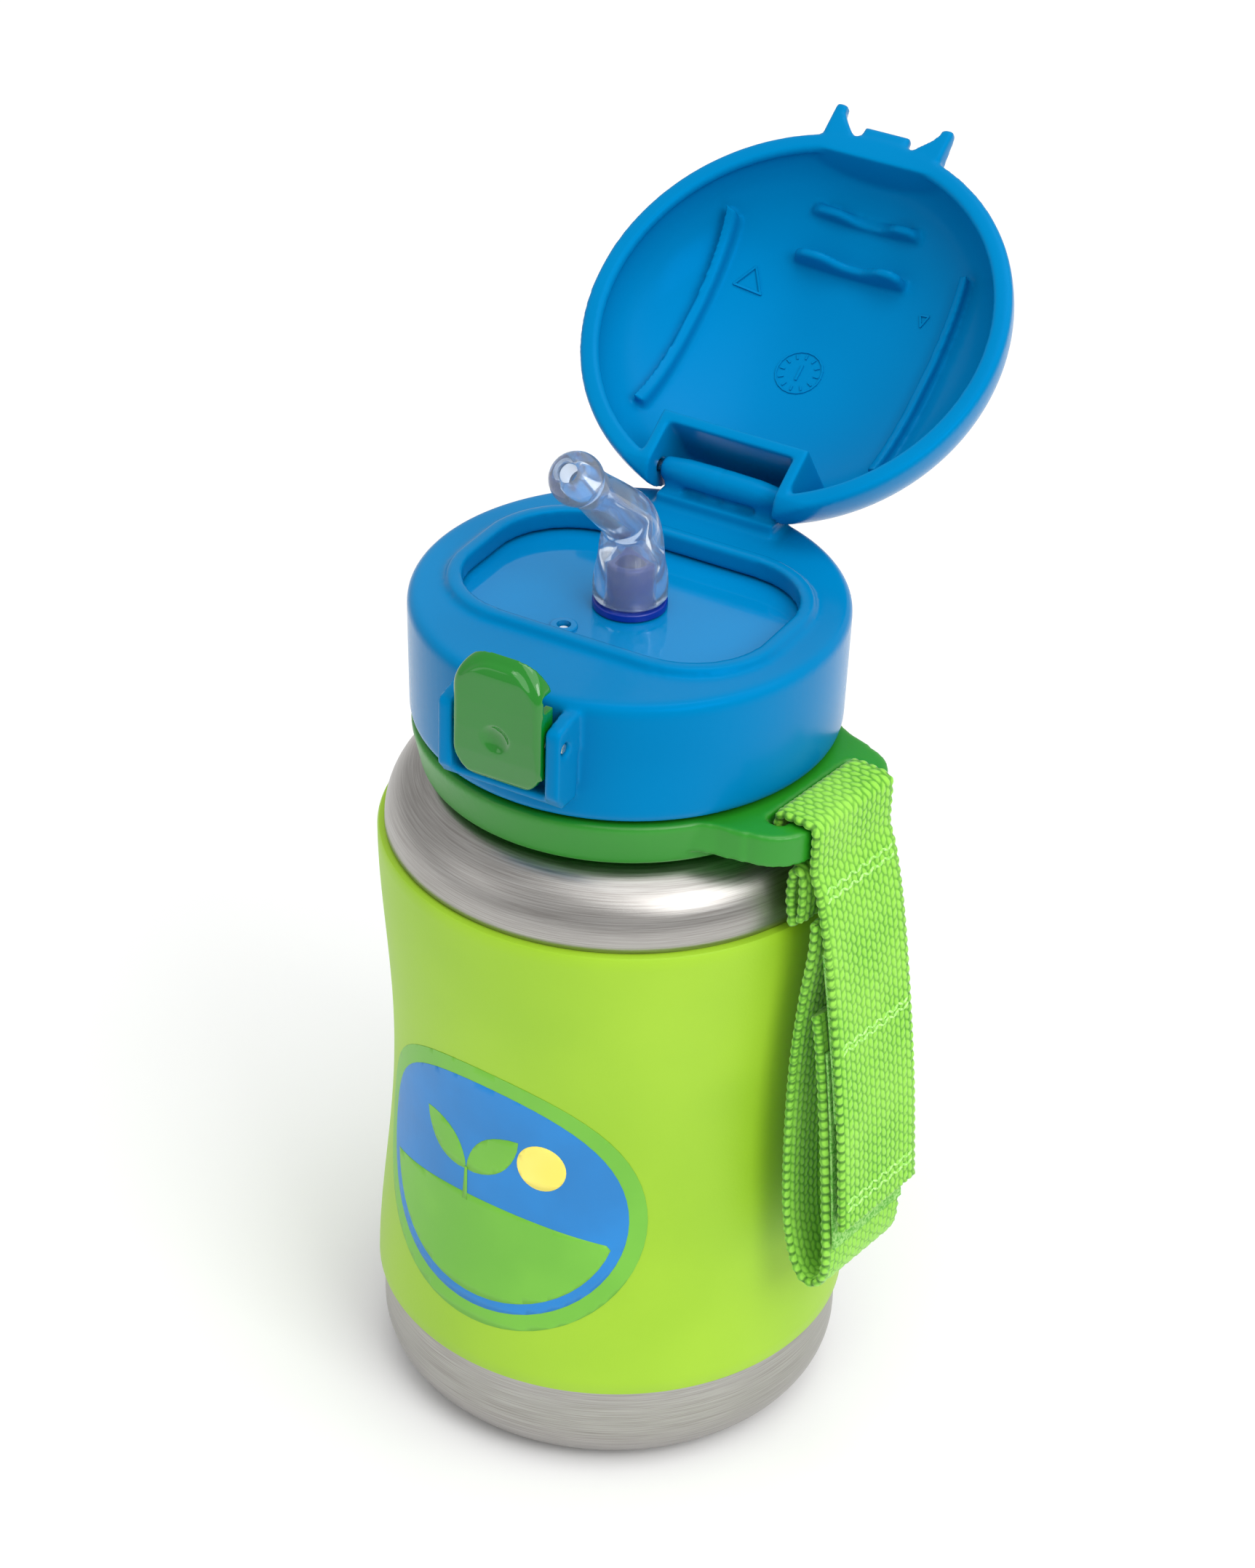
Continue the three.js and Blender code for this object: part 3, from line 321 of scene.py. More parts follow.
heights = [sleeve_low + 2 + i * (sleeve_high - sleeve_low - 4) / 24 for i in range(25)]
under_sleeve = [(sleeve_r(z) - sleeve_wall - 0.2, z) for z in heights]
shoulder_r = sleeve_r(sleeve_high) - 1.1
outside = [(0.0, 0.0), (12.0, 0.0), (27.5, 0.0)]
outside += arc((foot_r - foot_round, foot_round), (foot_round, foot_round), -88, 0, 14)
outside += [(foot_r, sleeve_low - 0.6), (foot_r - 0.5, sleeve_low + 0.3)] + under_sleeve
outside += [(shoulder_r - 0.5, sleeve_high - 0.2), (shoulder_r, sleeve_high + 0.6)]
outside += arc((neck_r, sleeve_high + 1), (shoulder_r - neck_r, 10.6), 4, 86, 16)
outside += [(neck_r, sleeve_high + 12.4), (neck_r, lip_z - 0.9)]
outside += arc((neck_r - 0.5, lip_z - 0.5), (0.5, 0.5), 0, 180, 6)
inside = [(neck_r - 1.0, sleeve_high + 11.0)]
inside += arc((neck_r - 1.0, sleeve_high + 1), (shoulder_r - neck_r, 9.7), 84, 0, 10)
inside += [(r - steel_wall, z) for r, z in reversed(under_sleeve)]
inside += arc((foot_r - foot_round - 1.5, foot_round),
              (foot_round - steel_wall, foot_round - steel_wall), 0, -90, 8)
bottle = turned(outside + inside + [(0.0, steel_wall)], 192)
# the screw thread: one ridge that climbs a pitch each turn and ends just under the lip
thread_steps, thread_turns, thread_pitch = 64, 1.35, 5
thread_low = lip_z - 2.2 - thread_turns * thread_pitch
ridge = [(-0.4, -0.65), (0.9, -0.4), (1.05, 0), (0.9, 0.4), (-0.4, 0.65)]
start = bottle.faces.new([bottle.verts.new(((neck_r + proud) * MM, 0, (thread_low + up) * MM))
                          for proud, up in ridge])
bmesh.ops.spin(bottle, geom=[start], cent=(0, 0, 0), axis=(0, 0, 1),
               dvec=(0, 0, thread_pitch * MM / thread_steps), angle=math.tau * thread_turns,
               steps=int(thread_steps * thread_turns), use_merge=False, use_duplicate=False)
bmesh.ops.recalc_face_normals(bottle, faces=bottle.faces)
fitted(to_object(bottle, "bottle_shell"), steel, "bottle", ["steel_body"])

# ---------------------------------------------------------------- silicone sleeve
# A soft lime sleeve stretched over the waist of the bottle. Its matt skin shows a faint grain, and
# its two ends are cut square with a small round.
silicone = Finish("lime silicone", Base_Color=paint(168, 212, 44), Roughness=0.5)
silicone.shader.inputs["Subsurface Weight"].default_value = 0.12
silicone.shader.inputs["Subsurface Radius"].default_value = (0.004, 0.004, 0.001)
silicone.shader.inputs["Subsurface Scale"].default_value = 0.5
silicone.shader.inputs["Sheen Weight"].default_value = 0.08
skin = silicone.cloud(2600.0, 3.0, 0.6)
bloom = silicone.cloud(28.0, 2.0)
silicone.feed(Base_Color=silicone.mixed(bloom.step(0.25, 0.8), paint(146, 192, 16), paint(160, 204, 32)),
              Roughness=0.42 + bloom * 0.14 + skin * 0.06)
silicone.raised(skin, 0.00003, 0.6)

heights = [sleeve_low + 0.5 + i * (sleeve_high - sleeve_low - 1) / 40 for i in range(41)]
top_r, low_r = sleeve_r(sleeve_high), sleeve_r(sleeve_low)
sleeve = [(sleeve_r(z), z) for z in heights]
sleeve += [(top_r - 0.25, sleeve_high - 0.1), (top_r - 0.6, sleeve_high)]
sleeve += [(sleeve_r(z) - sleeve_wall, z) for z in [sleeve_high] + heights[-2:0:-1] + [sleeve_low]]
sleeve += [(low_r - 0.6, sleeve_low), (low_r - 0.25, sleeve_low + 0.12)]
fitted(to_object(turned(sleeve, 192), "sleeve"), silicone, "bottle", ["silicone_sleeve"])


# ---------------------------------------------------------------- printed picture
# Flat inks on the front of the sleeve: an oval with a green rim, a blue sky, a hill, a sun and a
# two-leaved sprout. Each ink is a film a few hundredths of a millimetre thick on the sleeve.
print_z, print_faces, wrap_r = 50.0, -96.0, 37.0
film, fold_every = 0.03, 1.5


def printed(name, outline, finish, layer):
    """An outline of (along, up) millimetres laid round the front of the sleeve."""
    skin = bmesh.new()
    face = skin.faces.new([skin.verts.new((p[0] * MM, 0, p[1] * MM)) for p in outline])
    bmesh.ops.triangulate(skin, faces=[face])
    low = min(p[0] for p in outline), min(p[1] for p in outline)
    high = max(p[0] for p in outline), max(p[1] for p in outline)
    for side, normal in ((0, (1, 0, 0)), (1, (0, 0, 1))):
        cut = low[side] + fold_every
        while cut < high[side]:
            bmesh.ops.bisect_plane(skin, geom=skin.verts[:] + skin.edges[:] + skin.faces[:], dist=1e-7,
                                   plane_co=tuple(c * cut * MM for c in normal), plane_no=normal)
            cut += fold_every
    bmesh.ops.recalc_face_normals(skin, faces=skin.faces)
    for v in skin.verts:
        along, up = v.co.x / MM, v.co.z / MM + print_z
        r = sleeve_r(up) + film + film * layer
        way = math.radians(print_faces) + along / wrap_r
        v.co = (r * MM * math.cos(way), r * MM * math.sin(way), up * MM)
    if sum(f.normal.dot(f.calc_center_median().to_2d().to_3d()) for f in skin.faces) < 0:
        bmesh.ops.reverse_faces(skin, faces=skin.faces)
    piece = to_object(skin, name)
    wall = piece.modifiers.new("film", "SOLIDIFY")
    wall.thickness, wall.offset = 0.025 * MM, 1
    return fitted(piece, finish, "bottle")


def ink(name, low, high):
    """A flat ink, a little uneven between two shades."""
    finish = Finish(name, Base_Color=low, Roughness=0.42)
    mottle = finish.cloud(60.0, 3.0)
    finish.feed(Base_Color=finish.mixed(mottle.step(0.3, 0.75), low, high),
                Roughness=0.36 + 0.12 * mottle)
    finish.raised(finish.cloud(2400.0, 2.0), 0.00002, 0.5)
    return finish


leaf_ink = ink("leaf green ink", paint(104, 178, 46), paint(114, 188, 52))
hill_ink = ink("hill blue ink", paint(0, 118, 190), paint(0, 130, 208))
sun_ink = ink("pale yellow ink", paint(244, 226, 96), paint(250, 236, 120))


def oval(half_along, half_up, middle=(0, 0), steps=64):
    """The outline of an oval or a circle."""
    turns = [i / steps * math.tau for i in range(steps)]
    return [Vector((middle[0] + half_along * math.cos(a), middle[1] + half_up * math.sin(a)))
            for a in turns]


printed("print_rim", oval(28.5, 24.0), leaf_ink, 0)
printed("print_sky", oval(25.5, 21.0), hill_ink, 1)
hill = [Vector(q) for q in arc((0, 0), (23.6, 19.1), -166, -16, 25)]
hill += [Vector((22 - i * 2, -4.4 + 3.2 * math.sin(i / 22 * math.pi))) for i in range(23)]
printed("print_hill", hill, leaf_ink, 2)
printed("print_sun", oval(4.2, 4.2, (11, 8.5), 32), sun_ink, 2)
stalk_top, leaf_half = Vector((-3, 3.2)), 2.9
for side, lean_by, tall in (("left", 52, 12), ("right", -48, 13.5)):
    leaf = []
    for i in range(20):
        share = i / 10 if i < 10 else 2 - i / 10
        x = (1 if i < 10 else -1) * leaf_half * math.sin(math.pi * share) ** 0.8
        leaf.append(stalk_top + Matrix.Rotation(math.radians(lean_by), 2) @ Vector((x, tall * share)))
    printed("print_leaf_" + side, leaf, leaf_ink, 2)
stalk = [Vector(q) for q in ((-3.5, -2.5), (-2.5, -2.5), (-2.7, 3.6), (-3.3, 3.6))]
printed("print_stalk", stalk, leaf_ink, 3)

# ---------------------------------------------------------------- strap ring
# A green moulded ring that swivels on the neck under the cap. A broad lug flares out of its side and
# holds the webbing in a slot behind a bar.
def pushed(outline, way):
    """A flat outline of points in millimetres, made solid by a push."""
    made = bmesh.new()
    face = made.faces.new([made.verts.new(Vector(q) * MM) for q in outline])
    grown = bmesh.ops.extrude_face_region(made, geom=[face])["geom"]
    bmesh.ops.translate(made, vec=Vector(way) * MM,
                        verts=[v for v in grown if isinstance(v, bmesh.types.BMVert)])
    bmesh.ops.recalc_face_normals(made, faces=made.faces)
    return made


def outline_slab(outline, low, high, turn=0.0):
    """A flat outline of (x, y) millimetres pushed up from low to high, and turned about the axis."""
    slab = pushed([(x, y, low) for x, y in outline], (0, 0, high - low))
    bmesh.ops.rotate(slab, cent=(0, 0, 0), matrix=Matrix.Rotation(math.radians(turn), 3, "Z"),
                     verts=slab.verts)
    return slab


def rounded_rectangle(half_x, half_y, corner, steps=10, middle=(0, 0)):
    """The outline of a rectangle with round corners."""
    edge = []
    for sx, sy, first in ((1, 1, 0), (-1, 1, 90), (-1, -1, 180), (1, -1, 270)):
        centre = middle[0] + sx * (half_x - corner), middle[1] + sy * (half_y - corner)
        edge += arc(centre, (corner, corner), first, first + 90, steps)
    return edge


def block(low, high):
    """A rectangular block between two corners in millimetres."""
    made = bmesh.new()
    bmesh.ops.create_cube(made, size=1)
    low, high = Vector(low) * MM, Vector(high) * MM
    bmesh.ops.scale(made, vec=high - low, verts=made.verts)
    bmesh.ops.translate(made, vec=(high + low) / 2, verts=made.verts)
    return made


def rod(radius, start, end, steps=32):
    """A round rod between two points in millimetres."""
    made = bmesh.new()
    start, end = Vector(start) * MM, Vector(end) * MM
    bmesh.ops.create_cone(made, cap_ends=True, segments=steps, radius1=radius * MM, radius2=radius * MM,
                          depth=(end - start).length)
    turn = (end - start).to_track_quat("Z", "Y").to_matrix().to_4x4()
    bmesh.ops.transform(made, matrix=Matrix.Translation((start + end) / 2) @ turn, verts=made.verts)
    return made


def settle(piece):
    """Works the modifiers of a piece into its mesh."""
    graph = bpy.context.evaluated_depsgraph_get()
    graph.update()
    shape = bpy.data.meshes.new_from_object(piece.evaluated_get(graph), depsgraph=graph)
    piece.modifiers.clear()
    piece.data = shape
    return piece


def joined(piece, *tools, how="UNION"):
    """Adds shapes to a piece, or cuts them out of it."""
    used = [to_object(tool, "tool") for tool in tools]
    for tool in used:
        step = piece.modifiers.new("join", "BOOLEAN")
        step.operation, step.solver, step.object = how, "MANIFOLD", tool
    settle(piece)
    for tool in used:
        bpy.data.objects.remove(tool)
    return piece


def moulded(piece, grain, passes=4):
    """Rounds every edge and corner a little, as a mould does."""
    skin = piece.modifiers.new("skin", "REMESH")
    skin.mode, skin.voxel_size, skin.adaptivity = "VOXEL", grain * MM, 0
    soft = piece.modifiers.new("soft", "SMOOTH")
    soft.factor, soft.iterations = 0.5, passes
    return settle(piece)


def plastic(name, low, high, rough=0.3, spread=0.1, grain=0.0, **shader):
    """Moulded plastic: a little darker and lighter in broad flow marks, with a fine skin."""
    finish = Finish(name, Base_Color=low, **shader)
    flow = finish.cloud(22.0, 2.0, 0.5)
    fine = finish.cloud(900.0, 2.0, 0.5)
    finish.feed(Base_Color=finish.mixed(flow.step(0.3, 0.72), low, high),
                Roughness=rough + (flow - 0.5) * spread + (fine - 0.5) * 0.06)
    if grain:
        finish.raised(finish.cloud(1500.0, 3.0, 0.6), grain, 0.7)
    return finish


green_plastic = plastic("green plastic", paint(26, 128, 20), paint(36, 142, 28), 0.36, 0.1, 0.00002)
ring_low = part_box("strap_ring")[0].z / MM
ring_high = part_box("strap_ring")[1].z / MM
lug_turn, lug_out, lug_half, lug_thick = -8.0, 41.3, 16.0, 5.2
ring_bore, ring_low_r, ring_top_r = 26.6, 31.5, 32.8
slot_middle, slot_wide, slot_half, lug_corner = 35.6, 3.2, 10.8, 7.6
band = [(ring_bore, ring_low)] + arc((ring_low_r - 1, ring_low + 1), (1, 1), -90, -8, 4)
band += arc((ring_top_r - 1, ring_high - 1), (1, 1), 5, 90, 5) + [(ring_bore, ring_high)]
ring = to_object(turned(band), "strap_ring_piece")
lug = [(22, lug_half + 5), (26, lug_half + 2.6), (30, lug_half + 0.9), (34, lug_half + 0.1)]
lug += arc((lug_out - lug_corner, lug_half - 0.3 - lug_corner), (lug_corner, lug_corner), 84, 0, 10)
lug += [(x, -y) for x, y in reversed(lug)]
joined(ring, outline_slab(lug, ring_high - lug_thick, ring_high - 0.02, lug_turn))
slot = rounded_rectangle(slot_wide / 2, slot_half, 1.2, 4, (slot_middle, 0))
joined(ring, outline_slab(slot, ring_high - 7, ring_high + 2, lug_turn),
       rod(ring_bore, (0, 0, ring_low - 1), (0, 0, ring_high + 1), 160), how="DIFFERENCE")
fitted(moulded(ring, 0.4), green_plastic, "ring", ["strap_ring"], None)


# ---------------------------------------------------------------- webbing strap
# Flat green webbing, just under 20 mm wide, woven from thick bright yarn with chain edges. One length
# passes over the bar of the lug and hangs in front, stitched across with lighter thread. A second one
# loops down beside the bottle and comes up behind it.
web_wide, web_thick, edge_in = 19.4, 1.25, 0.7
yarn_pitch, pick_pitch, chain_pitch = 1.18, 1.75, 1.7
yarn_proud, yarn_sunk, yarn_lean = 0.3, 0.12, 0.42
lug_way = Vector((math.cos(math.radians(lug_turn)), math.sin(math.radians(lug_turn)), 0))
strap_side = Vector((0, 0, 1)).cross(lug_way)


def spaced(points, gap):
    """The same smooth path as points, at even steps of gap."""
    fine = []
    whole = [Vector(p) for p in points]
    whole = [2 * whole[0] - whole[1]] + whole + [2 * whole[-1] - whole[-2]]
    for a, b, c, d in zip(whole, whole[1:], whole[2:], whole[3:]):
        for t in [k / 40 for k in range(40)]:
            swerve = (2 * a - 5 * b + 4 * c - d) * t * t + (3 * b - a - 3 * c + d) * t ** 3
            fine.append(0.5 * (2 * b + (c - a) * t + swerve))
    fine.append(whole[-2])
    along = [0.0]
    for a, b in zip(fine, fine[1:]):
        along.append(along[-1] + (b - a).length)
    count = max(2, round(along[-1] / gap))
    even, k = [], 0
    for i in range(count + 1):
        want = along[-1] * i / count
        while k < len(fine) - 2 and along[k + 1] < want:
            k += 1
        t = (want - along[k]) / max(along[k + 1] - along[k], 1e-9)
        even.append(fine[k].lerp(fine[k + 1], min(max(t, 0), 1)))
    return even, along[-1]


def yarn_height(across, along):
    """How far the yarn stands up at a place of the weave, 0 to 1."""
    column = math.floor(across / yarn_pitch)
    x = across / yarn_pitch - column - 0.5
    lean = yarn_lean if column % 2 else -yarn_lean
    y = along / pick_pitch + 0.5 * (column % 2) + lean * x
    y = y - math.floor(y) - 0.5
    swell = 1 - (x / 0.52) ** 2 - (y / 0.56) ** 2
    return max(swell, 0.0) ** 0.5


def webbing(name, path, yarn_gap=0.3, start_at=0.0):
    """A band of webbing along a path of (out, up) millimetres, woven on both faces."""
    even, length = spaced(path, yarn_gap)
    last_row, round_count = len(even) - 1, 96
    half_w, half_t = web_wide / 2 - edge_in, web_thick / 2
    flat = 2 * half_w
    turn_len = math.pi * half_t
    whole = 2 * flat + 2 * turn_len
    band = bmesh.new()
    bmesh.ops.create_grid(band, x_segments=round_count, y_segments=last_row, size=0.5)
    uv = band.loops.layers.uv.new("weave")
    band.verts.ensure_lookup_table()
    spots = {}
    for v in band.verts:
        spots[v] = round((v.co.x + 0.5) * round_count), round((v.co.y + 0.5) * last_row)
    for face in band.faces:
        for loop in face.loops:
            i, j = spots[loop.vert]
            loop[uv].uv = (i / round_count * whole, length * j / last_row + start_at)
    for v, (i, j) in spots.items():
        s = (i % round_count) / round_count * whole
        along = length * j / last_row + start_at
        tangent = (even[min(j + 1, last_row)] - even[max(j - 1, 0)]).normalized()
        face_way = Vector((-tangent.y, tangent.x))
        link = 0.5 + 0.5 * math.cos(math.tau * along / chain_pitch)
        back = s - flat - turn_len
        if s < flat:
            side, lift = s - half_w, half_t + yarn_height(s, along) * yarn_proud - yarn_sunk
        elif 0 <= back < flat:
            rise = yarn_height(flat - back + edge_in, along + edge_in) * yarn_proud
            side, lift = half_w - back, -half_t + yarn_sunk - rise
        else:
            # the chained edge swells at each link
            facing = 1 if back < 0 else -1
            a = (s - flat if back < 0 else back - flat) / half_t
            side = facing * (half_w + math.sin(a) * (half_t + yarn_sunk + yarn_proud * link))
            lift = facing * math.cos(a) * half_t * (0.9 + 0.35 * link)
        here = even[j] + face_way * lift
        v.co = (lug_way * here.x + Vector((0, 0, here.y)) + strap_side * side) * MM
    bmesh.ops.remove_doubles(band, verts=band.verts, dist=1e-7)
    ends = [e for e in band.edges if e.is_boundary]
    bmesh.ops.holes_fill(band, edges=ends, sides=0)
    bmesh.ops.recalc_face_normals(band, faces=band.faces)
    return to_object(band, name)


def thread_row(shape, place, way, facing, count=13, side_half=8.6):
    """A row of zig-zag stitches across the webbing at a place of (out, up) millimetres."""
    face_way = lug_way * facing.x + Vector((0, 0, facing.y))
    along_way = lug_way * way.x + Vector((0, 0, way.y))
    for i in range(count):
        t = -side_half + 2 * side_half * (i + 0.5) / count
        made = bmesh.ops.create_uvsphere(shape, u_segments=6, v_segments=5, radius=0.5 * MM)["verts"]
        tilt = 0.55 if i % 2 else -0.55
        bmesh.ops.scale(shape, vec=(0.5, 0.5, 1.55), verts=made)
        stitch_way = (strap_side * math.cos(tilt) + along_way * math.sin(tilt)).normalized()
        frame3 = Matrix((face_way, stitch_way.cross(face_way), stitch_way)).transposed().to_4x4()
        spot = lug_way * place.x + Vector((0, 0, place.y)) + strap_side * t + face_way * 0.68
        bmesh.ops.transform(shape, matrix=Matrix.Translation(spot * MM) @ frame3, verts=made)


web = Finish("green webbing", Base_Color=paint(96, 205, 40), Roughness=0.72)
web.shader.inputs["Sheen Weight"].default_value = 0.25
web.shader.inputs["Sheen Roughness"].default_value = 0.4
chain_half = math.pi * web_thick / 4
web_uv = web.node("ShaderNodeUVMap", {"uv_map": "weave"}, {})
web_across, web_along, _ = web.parts(web_uv)
column = (web_across / yarn_pitch).whole()
odd = (column * 0.5).wrapped() * 2
in_column = (web_across / yarn_pitch).wrapped() - 0.5
slant = (odd * (2 * yarn_lean) - yarn_lean) * in_column
in_pick = (web_along / pick_pitch + odd * 0.5 + slant).wrapped() - 0.5
rise = 1 - in_column * in_column * 3.6 - in_pick * in_pick * 3.2
fibre_at = web.node("ShaderNodeCombineXYZ", {}, {0: web_across * 9.0, 1: web_along * 1.6})
fibres = web.cloud(1.0, 3.0, 0.7, at=fibre_at)
tone = web.cloud(80.0, 2.0)
# painted shade and painted highlight: depth makes the sunken gaps between the yarn loops darker and the
# tops of the loops lighter in the colour below
depth = rise.step(0.0, 0.75)
# how far a place is from each chained edge; the two woven faces and the two edges follow each other
first_chain, second_chain = [
    (web_across - faces * (web_wide - 2 * edge_in) - chains * chain_half).size() - chain_half
    for faces, chains in ((1, 1), (2, 3))]
on_edge = first_chain.step(0.25, -0.15) + second_chain.step(0.25, -0.15)
in_link = (web_along / chain_pitch).wrapped() - 0.5
# painted shade: the middle of each link along the chained edges is painted dark, as the shade inside an
# open hole
painted_hole_shade = (1 - in_link.size() * 4.0).step(0.0, 0.8) * on_edge
# the weave colour runs from a painted shade in the gaps to a painted highlight on the loop tops, mixed with
# fibre streaks, then with a random lighter tone
shade = web.mixed(depth * 0.75 + fibres * 0.25, paint(70, 148, 18), paint(146, 218, 66))
shade = web.mixed(tone.step(0.3, 0.7) * 0.25, shade, paint(168, 230, 92))
web.feed(Base_Color=web.mixed(painted_hole_shade * 0.75, shade, paint(40, 104, 10)), Roughness=0.62 + fibres * 0.25)
web.raised(rise.step(0.0, 1.0) * 0.6 + fibres * 0.4, 0.00012, 0.8)

swing_out, swing_up, strap_drop, leg_out, leg_gap = 42.3, 115.0, 77.0, 9.2, 3.3
bar_top = ring_high + 0.3 + web_thick / 2


def leg(share, drop, behind=0.0):
    """A place on the hanging loop: how far it leans out, and how far down it is."""
    return swing_out + leg_out * share - behind, swing_up - strap_drop * drop


over_bar = [(35.5, ring_high - 4.3), (35.5, bar_top - 1.1), (35.9, bar_top - 0.25), (36.7, bar_top),
            (39.0, bar_top + 0.05), (41.1, bar_top), (41.9, bar_top - 0.3),
            (swing_out, bar_top - 1.2), (swing_out, swing_up)]
front_path = over_bar + [leg(0.03, 0.025), leg(0.17, 0.075), leg(0.38, 0.19), leg(0.62, 0.38),
                         leg(0.84, 0.6), leg(0.98, 0.82)]
front = webbing("webbing_front", front_path)
fitted(front, web, None, ["strap_wrap", "strap_front"], None)
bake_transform(front)

beside = sleeve_end_r + 1.8 + 0.7
low_end = swing_up - strap_drop
tail_path = [(swing_out + 0.7, low_end + 67), (swing_out + 0.5, low_end + 61.6),
             (beside + 1, low_end + 51.6), (beside, low_end + 38.5), (beside - 0.1, low_end + 21.6),
             (beside + 0.8, low_end + 9.2), (beside + 3.2, low_end + 1.9), leg(0.5, 0.985),
             leg(0.68, 0.93), leg(0.98, 0.8, leg_gap), leg(0.84, 0.6, leg_gap),
             leg(0.68, 0.43, leg_gap), leg(0.56, 0.34, leg_gap)]
fitted(webbing("webbing_tail", tail_path, 0.38, 3.0), web, "strap", ["strap_tail"], None)

thread = Finish("pale green thread", Base_Color=paint(170, 232, 120), Roughness=0.6)
twist = thread.cloud(2200.0, 2.0)
thread.feed(Base_Color=thread.mixed(twist.step(0.3, 0.7), paint(140, 216, 84), paint(190, 240, 146)),
            Roughness=0.5 + twist * 0.2)
stitches = bmesh.new()
even_front, _ = spaced(front_path, 0.5)
past_the_bar, stitch_heights = 41.5, (110.4, 109.2, 84.6, 83.4, 56.6, 55.4)
hanging = [k for k in range(1, len(even_front) - 1) if even_front[k].x >= past_the_bar]
for up in stitch_heights:
    k = min(hanging, key=lambda n: abs(even_front[n].y - up))
    way = (even_front[k + 1] - even_front[k - 1]).normalized()
    thread_row(stitches, even_front[k], way, Vector((-way.y, way.x)))
fitted(to_object(stitches, "webbing_stitches"), thread, "strap", (), None)

# ---------------------------------------------------------------- hem and tapes
# The sewn end of the strap is rolled into a hem under the lug. A strip of hook tape behind the front
# leg and a strip of loop tape on the leg behind it hold the strap closed.
hem_path = [(38.9, 103.2), (38.3, 108.0), (38.6, 112.2), (39.6, 113.2), (40.4, 112.0),
            (40.55, 108.0), (40.35, 104.6)]
fitted(webbing("webbing_hem", hem_path, 0.36, 1.0), web, "strap", ["strap_hem"], None)

tape = Finish("woven tape", Base_Color=paint(120, 190, 80), Roughness=0.85)
nap = tape.cloud(1500.0, 3.0, 0.7)
tape.feed(Base_Color=tape.mixed(nap.step(0.35, 0.65), paint(84, 168, 44), paint(160, 216, 120)),
          Roughness=0.75 + nap * 0.2)
tape.raised(nap, 0.0003, 0.9)

# ---------------------------------------------------------------- cap
# The blue screw cap is one glossy moulding: a round drum with a flat deck, a stadium-shaped well with
# a raised bead, a barrel for the hinge pin at the back and two ears for the latch at the front.
blue_plastic = plastic("blue plastic", paint(0, 115, 170), paint(0, 123, 180), 0.22, 0.08, 0.000008)
blue_plastic.shader.inputs["Specular IOR Level"].default_value = 0.2
blue_plastic.shader.inputs["Specular Tint"].default_value = paint(0, 150, 255)
cap_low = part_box("cap_shell")[0].z / MM
hinge_pin_low, hinge_pin_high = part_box("lid_hinge_pin")
latch_pin_low, latch_pin_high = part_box("latch_pin")
hinge_y, hinge_z = [c / MM for c in ((hinge_pin_low + hinge_pin_high) / 2).yz]
latch_y, latch_z = [c / MM for c in ((latch_pin_low + latch_pin_high) / 2).yz]
cap_top = hinge_z - 5.2
cap_r, cap_wall, cap_edge, deck = 33.4, 2.2, 1.6, 1.8
bore_r = cap_r - cap_wall
cap_profile = [(bore_r - 0.4, cap_low)]
cap_profile += arc((cap_r - 0.4 - cap_edge, cap_low + cap_edge), (cap_edge, cap_edge), -90, 0, 6)
cap_profile += arc((cap_r - cap_edge, cap_top - cap_edge), (cap_edge, cap_edge), 0, 90, 8)
cap_profile += [(28, cap_top), (0, cap_top), (0, cap_top - deck), (bore_r, cap_top - deck),
                (bore_r, cap_low + 2)]


def sideways(outline, x0, x1):
    """An outline of (y, z) millimetres pushed along x."""
    return pushed([(x0, y, z) for y, z in outline], (x1 - x0, 0, 0))


well_x, well_y, well_corner, bead_wide, bead_high = 25.0, 16.4, 12.5, 2.4, 1.3
plate_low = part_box("well_plate")[0].z / MM
plate_high = plate_low + 1.1


def well_slab(wider, low, high, steps=14):
    """A slab with the outline of the well, wider by this on every side."""
    return outline_slab(rounded_rectangle(well_x + wider, well_y + wider, well_corner + wider, steps),
                        low, high)


cap = to_object(turned(cap_profile, 128), "cap_moulding")
joined(cap, well_slab(1.4, plate_high + 0.3, cap_top - 0.2, 10),
       well_slab(bead_wide, cap_top - 0.5, cap_top + bead_high * 0.75),
       well_slab(bead_wide - 0.5, cap_top - 0.5, cap_top + bead_high))
joined(cap, well_slab(0, plate_high - 2, cap_top + 10), how="DIFFERENCE")
block_x, knuckle_x, knuckle_r = 10.2, 10.5, 2.3
joined(cap, block((-block_x, hinge_y - 2.9, cap_top - 0.5), (block_x, hinge_y + 2.4, cap_top + 2)),
       block((-block_x + 0.6, hinge_y - 1.5, cap_top), (-block_x + 3.8, hinge_y + 1.5, hinge_z)),
       block((block_x - 3.8, hinge_y - 1.5, cap_top), (block_x - 0.6, hinge_y + 1.5, hinge_z)))
barrel = [(0, -knuckle_x)] + arc((knuckle_r - 1.1, -knuckle_x + 0.6), (0.6, 0.6), -90, 0, 4)
barrel += [(knuckle_r - 0.1, -knuckle_x * 0.6), (knuckle_r, -0.25), (knuckle_r - 0.14, 0),
           (knuckle_r, 0.25), (knuckle_r - 0.1, knuckle_x * 0.6)]
barrel += arc((knuckle_r - 1.1, knuckle_x - 0.6), (0.6, 0.6), 0, 90, 4) + [(0, knuckle_x)]


def laid_over(profile, steps, y, z):
    """A turned shape laid along x at this y and z."""
    made = turned(profile, steps)
    lay = Matrix.Translation((0, y * MM, z * MM)) @ Matrix.Rotation(math.pi / 2, 4, "Y")
    bmesh.ops.transform(made, matrix=lay, verts=made.verts)
    return made


